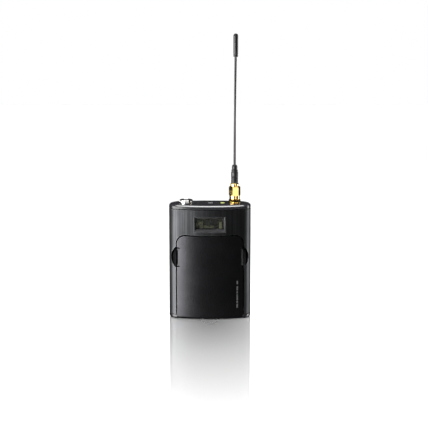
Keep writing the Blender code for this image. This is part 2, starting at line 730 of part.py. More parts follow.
def make_display():
    low, high = DISPLAY_Z - DISPLAY_HEIGHT / 2, DISPLAY_Z + DISPLAY_HEIGHT / 2
    bezel = flat_piece("display_bezel", [section(), section(BEZEL_DEPTH)], low, high)
    half = DISPLAY_WIDTH / 2
    frame = block("bezel_reach", (-half, FRONT_Y - WIDE_OPEN, low - WIDE_OPEN), (half, 0, high + WIDE_OPEN))
    keep_inside(bezel, frame)
    glass_low, glass_high = GLASS_Z - GLASS_HEIGHT / 2, GLASS_Z + GLASS_HEIGHT / 2
    glass_half = GLASS_WIDTH / 2
    edge = front_face_y(half)
    opening = (-half + BEZEL_RIM, half - BEZEL_RIM, low + BEZEL_RIM, high - BEZEL_RIM)
    glass = (-glass_half, glass_half, glass_low, glass_high)
    cut(
        bezel,
        block("bezel_front", (opening[0], FRONT_Y - WIDE_OPEN, opening[2]), (opening[1], edge, opening[3])),
        tapered_opening("bezel_bevel", opening, glass, edge - LAP, edge + BEVEL_DEPTH),
        block("bezel_window", (-glass_half, edge, glass_low), (glass_half, 0, glass_high)),
    )
    finish(bezel, (0.05, 0.05, 0.053), 0.3, 0.8)
    pane_front = edge + BEVEL_DEPTH
    pane = block(
        "display_glass",
        (-glass_half + FINE_GAP, pane_front, glass_low + FINE_GAP),
        (glass_half - FINE_GAP, pane_front + GLASS_THICKNESS, glass_high - FINE_GAP),
    )
    finish(pane, (0.02, 0.022, 0.018), 0.08)
    module_front = front_face_y(half, BEZEL_DEPTH) + GAP
    module_half = glass_half + MODULE_MARGIN
    module = block(
        "display_module",
        (-module_half, module_front, glass_low - MODULE_MARGIN),
        (module_half, module_front + MODULE_THICKNESS, glass_high + MODULE_MARGIN),
    )
    finish(module, (0.09, 0.095, 0.055), 0.4)


# Battery cover, scoops and latches


def latch_space():
    """Where a latch lies at the right-hand side: its outer and inner ends, front and back."""
    outer = COVER_HALF - GAP
    front = front_face_y(COVER_HALF) + COVER_WALL + 2 * GAP
    return outer, outer - LATCH_LENGTH, front, front + LATCH_DEPTH


def make_cover():
    cover = flat_piece("battery_cover", [section()], COVER_FOOT, COVER_TOP + COVER_CORNER)
    round_edges(cover, BOTTOM_FILLET, 3, both_at_height(COVER_FOOT))
    front, back = FRONT_Y - WIDE_OPEN, -BODY_DEPTH / 8
    inside = flat_piece("cover_inside", [section(COVER_WALL)], COVER_FOOT + FOOT_WALL, BODY_HEIGHT)
    behind_foot = block(
        "behind_foot",
        (-BODY_WIDTH, HINGE_AXIS_Y + FOOT_RETURN, -WIDE_OPEN),
        (BODY_WIDTH, BODY_DEPTH, COVER_FOOT + FOOT_WALL + MM),
    )
    cut(cover, inside, behind_foot)
    reach = flat_piece("cover_reach", [cover_outline(0, -WIDE_OPEN)], front, back, "front")
    keep_inside(cover, reach)
    outer, inner, latch_front, latch_back = latch_space()
    for side, word in ((-1, "left"), (1, "right")):
        for end in (-1, 1):
            middle = SCOOP_Z + end * (LATCH_HEIGHT + NOTCH_IN_COVER) / 2
            left, right = sorted((side * (COVER_HALF - NOTCH_IN_COVER), side * (COVER_HALF + WIDE_OPEN)))
            notch = block(
                f"cover_notch_{word}_{end}",
                (left, front, middle - NOTCH_IN_COVER / 2),
                (right, back, middle + NOTCH_IN_COVER / 2),
            )
            cut(cover, notch)
            rib_x = (inner - LATCH_TRAVEL, COVER_HALF - NOTCH_IN_COVER - GAP)
            left, right = sorted((side * rib_x[0], side * rib_x[1]))
            rib_z = SCOOP_Z + end * (LATCH_HEIGHT / 2 + GAP + LATCH_RIB / 2)
            join(cover, block(
                f"latch_rib_{word}_{end}",
                (left, front_face_y(rib_x[0], COVER_WALL / 2), rib_z - LATCH_RIB / 2),
                (right, latch_back, rib_z + LATCH_RIB / 2),
            ))
        stop_x = inner - LATCH_SPRING_LENGTH - 2 * GAP
        left, right = sorted((side * (stop_x - LATCH_RIB), side * stop_x))
        join(cover, block(
            "spring_stop_" + word,
            (left, front_face_y(stop_x - LATCH_RIB, COVER_WALL / 2), SCOOP_Z - SPRING_STOP_HEIGHT / 2),
            (right, latch_back - GAP, SCOOP_Z + SPRING_STOP_HEIGHT / 2),
        ))
        inner_x, outer_x = sorted((side * COVER_BARREL_X, side * (COVER_BARREL_X + BARREL_LENGTH)))
        barrel = rod(
            "cover_barrel_" + word, HINGE_BARREL_RADIUS, inner_x, outer_x,
            (0, HINGE_AXIS_Y, HINGE_Z), "right", 20,
        )
        arm = block(
            "cover_arm_" + word,
            (inner_x + PIN_GAP, front_face_y(COVER_BARREL_X, COVER_WALL / 2), HINGE_Z - BARREL_ARM),
            (outer_x - PIN_GAP, HINGE_AXIS_Y, HINGE_Z + BARREL_ARM),
        )
        join(cover, barrel, arm)
        near, far = CAP_BARREL_X - GAP / 2, CAP_BARREL_X + BARREL_LENGTH + GAP / 2
        inner_x, outer_x = sorted((side * near, side * far))
        relief = rod(
            "barrel_relief_" + word, HINGE_BARREL_RADIUS + GAP, inner_x, outer_x,
            (0, HINGE_AXIS_Y, HINGE_Z), "right", 20,
        )
        arm_slot = block(
            "arm_slot_" + word,
            (inner_x, HINGE_AXIS_Y - GAP, -WIDE_OPEN),
            (outer_x, BODY_DEPTH, HINGE_Z),
        )
        cut(cover, relief, arm_slot)
    bore = HINGE_PIN_RADIUS + PIN_GAP
    reach = COVER_BARREL_X + BARREL_LENGTH + GAP / 2
    cut(cover, rod("cover_hinge_bore", bore, -reach, reach, (0, HINGE_AXIS_Y, HINGE_Z), "right", 20))
    move_origin(cover, (0, HINGE_AXIS_Y, HINGE_Z))
    finish(cover, (0.035, 0.035, 0.038), 0.38, 0.6)
    pin_reach = CAP_BARREL_X + BARREL_LENGTH
    pin = rod(
        "cover_hinge_pin", HINGE_PIN_RADIUS, -pin_reach, pin_reach, (0, HINGE_AXIS_Y, HINGE_Z), "right", 20
    )
    finish(pin, (0.6, 0.6, 0.6), 0.25, 1.0)
    pad = flat_piece(
        "cover_pad", [section(COVER_WALL + GAP), section(PAD_BACK_INSET)], SCOOP_Z - PAD_HEIGHT, SCOOP_Z,
    )
    keep_inside(pad, block("pad_reach", (-PAD_WIDTH / 2, front, 0), (PAD_WIDTH / 2, 0, COVER_TOP)))
    move_origin(pad, (0, HINGE_AXIS_Y, HINGE_Z))
    finish(pad, (0.03, 0.03, 0.03), 0.95)
    pad.parent = cover
    pad.matrix_parent_inverse = Matrix.Translation((0, -HINGE_AXIS_Y, -HINGE_Z))
    return cover


def make_latches(cover):
    outer, inner, front, back = latch_space()
    for side, word in ((-1, "left"), (1, "right")):
        left, right = sorted((side * inner, side * outer))
        latch = block(
            "latch_" + word,
            (left, front, SCOOP_Z - LATCH_HEIGHT / 2),
            (right, back, SCOOP_Z + LATCH_HEIGHT / 2),
        )
        middle_y = (front + back) / 2
        move_origin(latch, (side * outer, middle_y, SCOOP_Z))
        finish(latch, (0.03, 0.03, 0.03), 0.4)
        coil = coil_points(
            LATCH_SPRING_TURNS, LATCH_SPRING_RADIUS, LATCH_SPRING_RADIUS, LATCH_SPRING_LENGTH, 10
        )
        start = side * (inner - GAP - LATCH_SPRING_LENGTH if side > 0 else inner - GAP)
        place = Matrix.Translation((start, middle_y, SCOOP_Z)) @ FACINGS["right"]
        spring = wire("latch_spring_" + word, moved(coil, place), LATCH_SPRING_WIRE, 1)
        finish(spring, (0.6, 0.6, 0.6), 0.3, 1.0)
        for piece in (latch, spring):
            piece.parent = cover
            piece.matrix_parent_inverse = Matrix.Translation((0, -HINGE_AXIS_Y, -HINGE_Z))


def make_scoops():
    """Moulded scoops behind the finger openings, which close them off from the inside of the body."""
    half = SCOOP_HEIGHT / 2 + SCOOP_WALL
    _, _, _, latch_back = latch_space()
    deep = latch_back + GAP
    for side, word in ((-1, "left"), (1, "right")):
        scoop = flat_piece("scoop_" + word, [section(WALL + GAP)], SCOOP_Z - half, SCOOP_Z + half)
        left, right = sorted((side * (COVER_HALF + 2 * GAP), side * BODY_WIDTH))
        reach = block(
            "scoop_reach_" + word, (left, -BODY_DEPTH, SCOOP_Z - BODY_DEPTH),
            (right, deep + SCOOP_WALL, SCOOP_Z + BODY_DEPTH),
        )
        keep_inside(scoop, reach)
        hollow = flat_piece(
            "scoop_hollow_" + word, [scoop_outline(side)], FRONT_Y - WIDE_OPEN, deep, "front"
        )
        cut(scoop, hollow)
        finish(scoop, (0.012, 0.012, 0.012), 0.15)


# Cells and tray


def make_tray():
    tray = block("battery_tray", (-TRAY_HALF, TRAY_FRONT, TRAY_FLOOR_Z), (TRAY_HALF, TRAY_BACK, TRAY_HIGH))
    shelf_back = -KEY_Y + SHELF_WALL
    switch_back = shelf_back + 2 * GAP + KEY_TRAVEL + SWITCH_HEIGHT
    for side, word in ((-1, "left"), (1, "right")):
        for name, front, back in (
            ("key_shelf_", -KEY_Y, shelf_back),
            ("switch_shelf_", switch_back + GAP, switch_back + GAP + SHELF_WALL),
        ):
            near, far = sorted((side * BAY_HALF + side * TRAY_WALL / 2, side * (KEY_X + KEY_RADIUS)))
            high = KEY_Z + KEY_RADIUS + GAP
            join(tray, block(name + word, (near, front, KEY_Z - KEY_RADIUS - GAP), (far, back, high)))
        centre = (side * KEY_X, -KEY_Y, KEY_Z)
        depth = SHELF_WALL + WIDE_OPEN
        cut(tray, rod("key_hole_" + word, KEY_STEM_RADIUS + FINE_GAP, -depth, WIDE_OPEN, centre, "front", 20))
        foot_low = BASE_PANEL + GAP
        near, far = sorted((side * (BAY_HALF + TRAY_WALL / 2), side * (BASE_SCREW_X + 2 * SCREW_RADIUS)))
        boss = block(
            "screw_boss_" + word,
            (near, BASE_SCREW_Y - 2 * SCREW_RADIUS, foot_low),
            (far, BASE_SCREW_Y + 2 * SCREW_RADIUS, BAY_LOW),
        )
        join(tray, boss)
        shank = SCREW_RADIUS + PIN_GAP
        centre = (side * BASE_SCREW_X, BASE_SCREW_Y, 0)
        low, high = foot_low - WIDE_OPEN, BAY_LOW + WIDE_OPEN
        cut(tray, rod("boss_bore_" + word, shank, low, high, centre, steps=20))
    cut(tray, block("cell_bay", (-BAY_HALF, -BODY_DEPTH, BAY_LOW), (BAY_HALF, BAY_BACK, BAY_HIGH)))
    return finish(tray, (0.02, 0.02, 0.02), 0.5)


def cell_profile(up):
    """A cell with its nub at the top, or at the bottom."""
    if up:
        shoulder = CELL_LENGTH - NUB_HEIGHT
        return [
            (0, CELL_LENGTH), (NUB_RADIUS, CELL_LENGTH), (NUB_RADIUS, shoulder), (CELL_RADIUS, shoulder),
            (CELL_RADIUS, 0), (0, 0),
        ]
    return [
        (0, CELL_LENGTH), (CELL_RADIUS, CELL_LENGTH), (CELL_RADIUS, NUB_HEIGHT), (NUB_RADIUS, NUB_HEIGHT),
        (NUB_RADIUS, 0), (0, 0),
    ]


def make_cells():
    half = CELL_SPACING / 2
    for name, x, low, up in (("battery_1", -half, CELL_1_LOW, True), ("battery_2", half, CELL_2_LOW, False)):
        finish(turned(name, cell_profile(up), (x, CELL_Y, low)), (0.3, 0.16, 0.05), 0.3, 0.6)
    front, back = CELL_Y - CONTACT_WIDTH / 2, CELL_Y + CONTACT_WIDTH / 2
    contacts = [
        block(
            "contact_bridge",
            (-half - CONTACT_WIDTH / 2, front, BRIDGE_HIGH - CONTACT_THICKNESS),
            (half + CONTACT_WIDTH / 2, back, BRIDGE_HIGH),
        )
    ]
    for name, x in (("contact_positive", -half), ("contact_negative", half)):
        contacts.append(block(
            name,
            (x - CONTACT_WIDTH / 2, front, CONTACT_LOW),
            (x + CONTACT_WIDTH / 2, back, CONTACT_LOW + CONTACT_THICKNESS),
        ))
    wide, narrow = CONTACT_WIDTH / 2 - 2 * GAP - CONTACT_SPRING_WIRE, NUB_RADIUS
    low = BRIDGE_HIGH + GAP
    up = coil_points(CONTACT_SPRING_TURNS, wide, narrow, CONTACT_SPRING_HEIGHT - 2 * CONTACT_SPRING_WIRE)
    lift = Matrix.Translation((-half, CELL_Y, low + CONTACT_SPRING_WIRE))
    contacts.append(wire("contact_spring_bottom", moved(up, lift), CONTACT_SPRING_WIRE, 1))
    room = CONTACT_LOW - (CELL_2_LOW + CELL_LENGTH) - 2 * GAP - 2 * CONTACT_SPRING_WIRE
    down = coil_points(CONTACT_SPRING_TURNS, narrow, wide, room)
    lift = Matrix.Translation((half, CELL_Y, CELL_2_LOW + CELL_LENGTH + GAP + CONTACT_SPRING_WIRE))
    contacts.append(wire("contact_spring_top", moved(down, lift), CONTACT_SPRING_WIRE, 1))
    for piece in contacts:
        finish(piece, (0.7, 0.68, 0.62), 0.3, 1.0)


# Keys


def make_keys():
    head_front = KEY_HEIGHT + GAP
    stem_end = SHELF_WALL + GAP
    profile = [
        (0, head_front), (KEY_RADIUS * 0.8, head_front), (KEY_RADIUS, head_front - 0.3 * MM),
        (KEY_RADIUS, GAP + KEY_TRAVEL), (KEY_STEM_RADIUS, GAP + KEY_TRAVEL), (KEY_STEM_RADIUS, -stem_end),
        (0, -stem_end),
    ]
    switch_front = -KEY_Y + stem_end + KEY_TRAVEL + GAP
    for side, word in ((-1, "menu"), (1, "enter")):
        key = turned(word + "_button", profile, (side * KEY_X, -KEY_Y, KEY_Z), "front", 24)
        finish(key, (0.05, 0.05, 0.05), 0.5)
        switch = block(
            word + "_switch",
            (side * KEY_X - SWITCH_SIDE / 2, switch_front, KEY_Z - SWITCH_SIDE / 2),
            (side * KEY_X + SWITCH_SIDE / 2, switch_front + SWITCH_HEIGHT, KEY_Z + SWITCH_SIDE / 2),
        )
        finish(switch, (0.02, 0.02, 0.02), 0.5)


# Electronics


def make_electronics():
    low = BOTTOM_CAP_HEIGHT + SEAM + CAP_LIP_HEIGHT + BOARD_END_GAP / 2
    high = BODY_HEIGHT - TOP_CAP_HEIGHT - SEAM - CAP_LIP_HEIGHT - GAP
    board = block(
        "main_board",
        (-BOARD_WIDTH / 2, BOARD_FRONT, low),
        (BOARD_WIDTH / 2, BOARD_FRONT + BOARD_THICKNESS, high),
    )
    finish(board, (0.02, 0.11, 0.05), 0.4)
    top = high - 2 * GAP
    can = block(
        "rf_shield",
        (-SHIELD_WIDTH / 2, BOARD_FRONT - GAP - SHIELD_DEPTH, top - SHIELD_HEIGHT),
        (SHIELD_WIDTH / 2, BOARD_FRONT - GAP, top),
    )
    cut(can, block(
        "shield_inside",
        (-SHIELD_WIDTH / 2 + SHIELD_WALL, BOARD_FRONT - GAP - SHIELD_DEPTH + SHIELD_WALL,
         top - SHIELD_HEIGHT + SHIELD_WALL),
        (SHIELD_WIDTH / 2 - SHIELD_WALL, BOARD_FRONT, top - SHIELD_WALL),
    ))
    finish(can, (0.6, 0.6, 0.58), 0.35, 1.0)


# Top panel


def make_connector():
    centre = (CONNECTOR_X, 0, BODY_HEIGHT)
    rim, flange = CONNECTOR_RISE, GAP
    shell = turned(
        "connector_shell",
        [
            (CONNECTOR_RADIUS - RIM_CHAMFER, rim), (CONNECTOR_RADIUS, rim - RIM_CHAMFER),
            (CONNECTOR_RADIUS, flange),
            (CONNECTOR_BARREL, flange), (CONNECTOR_BARREL, -CONNECTOR_LENGTH),
            (CONNECTOR_BORE, -CONNECTOR_LENGTH), (CONNECTOR_BORE, rim),
        ],
        centre, ring=True,
    )
    finish(shell, (0.72, 0.72, 0.72), 0.2, 1.0)
    insert_high = -CONNECTOR_LENGTH + INSERT_THICKNESS + GAP
    insert = rod(
        "connector_insert", CONNECTOR_BORE - FINE_GAP, insert_high - INSERT_THICKNESS, insert_high, centre
    )
    for i in range(CONTACT_PINS):
        angle = math.tau * (i + 0.5) / CONTACT_PINS
        place = Vector(centre) + CONTACT_PIN_CIRCLE * Vector((math.cos(angle), math.sin(angle), 0))
        low = insert_high - INSERT_THICKNESS
        bore, high = CONTACT_PIN_RADIUS + PIN_GAP, insert_high + WIDE_OPEN
        cut(insert, rod(f"pin_hole_{i + 1}", bore, low - WIDE_OPEN, high, place, steps=12))
        pin = rod(
            f"connector_pin_{i + 1}", CONTACT_PIN_RADIUS, low, insert_high + CONTACT_PIN_RISE, place, steps=12
        )
        finish(pin, (0.9, 0.68, 0.3), 0.2, 1.0)
    finish(insert, (0.015, 0.015, 0.015), 0.4)
    high = PANEL_UNDERSIDE - GAP
    nut = flat_piece(
        "connector_nut",
        [
            hexagon(CONNECTOR_NUT_RADIUS * math.sqrt(3), CONNECTOR_X),
            circle(CONNECTOR_BARREL + FINE_GAP, CONNECTOR_X),
        ],
        high - CONNECTOR_NUT_HEIGHT, high,
    )
    finish(nut, (0.7, 0.7, 0.7), 0.3, 1.0)


def make_panel_trim():
    window = block(
        "sync_window",
        (SYNC_X - SYNC_WIDTH / 2, -SYNC_LENGTH / 2, PANEL_UNDERSIDE - GAP),
        (SYNC_X + SYNC_WIDTH / 2, SYNC_LENGTH / 2, BODY_HEIGHT - 0.1 * MM),
    )
    finish(window, (0.12, 0.11, 0.12), 0.2)
    foot_low, foot_high = PANEL_UNDERSIDE - 3 * GAP, PANEL_UNDERSIDE - GAP
    body_high = foot_low - GAP
    half = SLOT_LENGTH / 2 + 2 * GAP
    body = block(
        "mute_switch",
        (SLOT_X - half, -SLOT_WIDTH, body_high - SWITCH_BODY_HEIGHT),
        (SLOT_X + half, SLOT_WIDTH, body_high),
    )
    finish(body, (0.5, 0.5, 0.5), 0.4, 0.8)
    knob = block(
        "mute_slider",
        (-KNOB_LENGTH / 2, -SLOT_WIDTH / 2 + GAP, foot_low),
        (KNOB_LENGTH / 2, SLOT_WIDTH / 2 - GAP, BODY_HEIGHT + KNOB_RISE),
    )
    join(knob, block(
        "slider_foot",
        (-KNOB_LENGTH / 2 - 2 * GAP, -SLOT_WIDTH / 2 - 2 * GAP, foot_low),
        (KNOB_LENGTH / 2 + 2 * GAP, SLOT_WIDTH / 2 + 2 * GAP, foot_high),
    ))
    finish(knob, (0.35, 0.35, 0.36), 0.4)
    knob.location = (SLOT_X, 0, 0)
    bpy.data.objects["slider_foot"].location = (SLOT_X, 0, 0)
    lens = turned(
        "status_led",
        [
            (0, LED_RISE), (LED_RADIUS * 0.55, LED_RISE * 0.8), (LED_RADIUS * 0.9, LED_RISE * 0.35),
            (LED_RADIUS, 0), (LED_RADIUS, -TOP_PANEL - GAP), (LED_RADIUS + 2 * GAP, -TOP_PANEL - GAP),
            (LED_RADIUS + 2 * GAP, -TOP_PANEL - 5 * GAP), (0, -TOP_PANEL - 5 * GAP),
        ],
        (LED_X, 0, BODY_HEIGHT),
    )
    finish(lens, (0.65, 0.68, 0.3), 0.15)


GOLD = (0.83, 0.61, 0.25)


def make_antenna_socket():
    centre = (ANTENNA_X, 0, BODY_HEIGHT)
    pin_bore = PLUG_PIN_RADIUS + FINE_GAP
    flange = -TOP_PANEL - GAP
    jack = turned(
        "sma_jack",
        [
            (JACK_RADIUS, JACK_RISE), (JACK_RADIUS, flange), (JACK_FLANGE_RADIUS, flange),
            (JACK_FLANGE_RADIUS, flange - JACK_FLANGE), (JACK_RADIUS, flange - JACK_FLANGE),
            (JACK_RADIUS, -JACK_DROP), (pin_bore, -JACK_DROP), (pin_bore, JACK_RISE - JACK_MOUTH),
            (JACK_BORE, JACK_RISE - JACK_MOUTH), (JACK_BORE, JACK_RISE),
        ],
        centre, ring=True,
    )
    finish(jack, GOLD, 0.2, 1.0)
    bore = JACK_RADIUS + FINE_GAP
    washer = ring("sma_washer", WASHER_RADIUS, bore, GAP, GAP + WASHER_THICKNESS, centre)
    finish(washer, GOLD, 0.25, 1.0)
    low = BODY_HEIGHT + 2 * GAP + WASHER_THICKNESS
    nut = flat_piece(
        "sma_nut", [hexagon(HEX_FLATS, ANTENNA_X), circle(bore, ANTENNA_X)], low, low + PANEL_NUT_HEIGHT
    )
    finish(nut, GOLD, 0.2, 1.0)


def make_antenna():
    """The plug end is gold, with a nut that turns freely on it. The boot, whip and tip are rubber."""
    centre = Vector((ANTENNA_X, 0, 0))
    nut = flat_piece("coupling_nut", [hexagon(HEX_FLATS, turn=NUT_TURN)], 0, NUT_HEX_HEIGHT + MM)
    nut.location = centre + Vector((0, 0, STACK_LOW + SKIRT_HEIGHT - MM))
    skirt = rod("nut_skirt", SKIRT_RADIUS, STACK_LOW, STACK_LOW + SKIRT_HEIGHT, centre)
    thread = JACK_RADIUS + GAP
    shoulder = NUT_HIGH - NUT_SHOULDER
    inside = [
        (0, NUT_HIGH + WIDE_OPEN), (NECK_RADIUS + GAP, NUT_HIGH + WIDE_OPEN), (NECK_RADIUS + GAP, shoulder),
        (thread, shoulder), (thread, STACK_LOW - WIDE_OPEN), (0, STACK_LOW - WIDE_OPEN),
    ]
    join(nut, skirt)
    cut(nut, turned("nut_inside", inside, centre))
    finish(nut, GOLD, 0.16, 1.0)

    collar_high = shoulder - GAP
    collar_low = collar_high - COLLAR_HEIGHT
    ferrule_low = NUT_HIGH + GAP
    ferrule_high = ferrule_low + FERRULE_HEIGHT
    pin_seat = PLUG_PIN_RADIUS + PIN_GAP
    pin_top = ferrule_low
    ferrule = turned(
        "antenna_ferrule",
        [
            (0, ferrule_high), (FERRULE_RADIUS - GAP, ferrule_high), (FERRULE_RADIUS, ferrule_high - GAP),
            (FERRULE_RADIUS, ferrule_low), (NECK_RADIUS, ferrule_low), (NECK_RADIUS, collar_high),
            (JACK_RADIUS, collar_high), (JACK_RADIUS, collar_low), (pin_seat, collar_low),
            (pin_seat, pin_top), (0, pin_top),
        ],
        centre,
    )
    finish(ferrule, GOLD, 0.18, 1.0)
    pin_low = BODY_HEIGHT + JACK_RISE - PLUG_PIN_REACH
    pin = rod("antenna_pin", PLUG_PIN_RADIUS, pin_low, pin_top - GAP, centre, steps=12)
    finish(pin, GOLD, 0.2, 1.0)

    # The boot, from its top down: a bulb, a narrow neck, a ring, then the ribbed main barrel.
    bulb_low = BOOT_HIGH - BOOT_BULB_HEIGHT
    ring_low = BOOT_LOW + BOOT_RING_LOW
    main_high = BOOT_LOW + BOOT_MAIN_HEIGHT
    step = FINE_GAP
    seat = WHIP_RADIUS + FINE_GAP
    profile = [
        (seat, BOOT_HIGH), (seat + BOOT_CHAMFER, BOOT_HIGH), (BOOT_BULB_RADIUS * 0.9, BOOT_HIGH - 1.1 * MM),
        (BOOT_BULB_RADIUS, BOOT_HIGH - 2.0 * MM), (BOOT_BULB_RADIUS * 0.95, bulb_low + BOOT_CHAMFER),
        (BOOT_GROOVE_RADIUS, bulb_low), (BOOT_RING_RADIUS, ring_low + BOOT_RING_HEIGHT),
        (BOOT_RING_RADIUS, ring_low), (BOOT_GROOVE_RADIUS, ring_low - step),
        (BOOT_GROOVE_RADIUS, main_high + step), (BOOT_RADIUS - BOOT_CHAMFER, main_high),
        (BOOT_RADIUS, main_high - BOOT_CHAMFER),
    ]
    for i in range(BOOT_RIBS):
        z = BOOT_LOW + (BOOT_RIBS + 0.5 - i) * BOOT_RIB_PITCH
        groove = BOOT_RADIUS - BOOT_RIB_DEPTH
        profile += [
            (BOOT_RADIUS, z), (groove, z - step), (groove, z - BOOT_RIB_GROOVE),
            (BOOT_RADIUS, z - BOOT_RIB_GROOVE - step),
        ]
    profile += [
        (BOOT_RADIUS, BOOT_LOW), (0, BOOT_LOW), (0, BOOT_HIGH - WHIP_SEAT), (seat, BOOT_HIGH - WHIP_SEAT),
    ]
    boot = turned("antenna_boot", profile, centre, steps=24, ring=True)
    finish(boot, (0.015, 0.015, 0.015), 0.55)

    whip_low = BOOT_HIGH - WHIP_SEAT + GAP
    whip_high = TIP_LOW + WHIP_SEAT - GAP
    count = 24
    points, thickness = [], []
    for i in range(count + 1):
        share = i / count
        rise = whip_low + (whip_high - whip_low) * share
        points.append(Vector((ANTENNA_X + WHIP_LEAN * share**2, 0, rise)))
        thickness.append(1.0 - 0.12 * math.sin(math.pi * share))
    whip = wire("antenna_whip", points, WHIP_RADIUS, 2, thickness)
    finish(whip, (0.015, 0.015, 0.015), 0.5)

    nose = [(0, TIP_HIGH)] + [
        (TIP_RADIUS * math.sin(a), TIP_HIGH - TIP_RADIUS * (1 - math.cos(a)))
        for a in (math.pi / 8 * i for i in range(1, 5))
    ]
    foot = TIP_RADIUS * 0.95
    profile = nose + [
        (foot, TIP_LOW), (seat + FINE_GAP, TIP_LOW), (seat + FINE_GAP, TIP_LOW + WHIP_SEAT),
        (0, TIP_LOW + WHIP_SEAT),
    ]
    tip = turned("antenna_tip", profile, centre + Vector((WHIP_LEAN, 0, 0)), steps=24)
    finish(tip, (0.015, 0.015, 0.015), 0.5)


# Belt clip and screws


def screw_piece(name, centre, facing, length):
    """A screw with its head's underside at its origin's height."""
    socket = SCREW_HEAD_RADIUS * 0.45
    depth = SCREW_HEAD_HEIGHT * 0.6
    head = SCREW_HEAD_HEIGHT
    profile = [
        (0, head - depth), (socket, head - depth), (socket, head), (SCREW_HEAD_RADIUS * 0.85, head),
        (SCREW_HEAD_RADIUS, head * 0.6), (SCREW_HEAD_RADIUS, 0), (SCREW_RADIUS, 0), (SCREW_RADIUS, -length),
        (0, -length),
    ]
    return finish(turned(name, profile, centre, facing, 16), (0.25, 0.25, 0.25), 0.35, 1.0)


def strip_outline(spine, thickness):
    """A strip of sheet metal seen edge on. The spine is its outer side; the inner lies one thickness in."""
    points = [Vector(point) for point in spine]
    inner = []
    for i, point in enumerate(points):
        before = (point - points[i - 1]).normalized() if i else None
        after = (points[i + 1] - point).normalized() if i < len(points) - 1 else before
        before = before or after
        sides = [Vector((along.y, -along.x)) for along in (before, after)]
        middle = (sides[0] + sides[1]).normalized()
        inner.append(tuple(point + middle * thickness / middle.dot(sides[0])))
    return spine + inner[::-1]


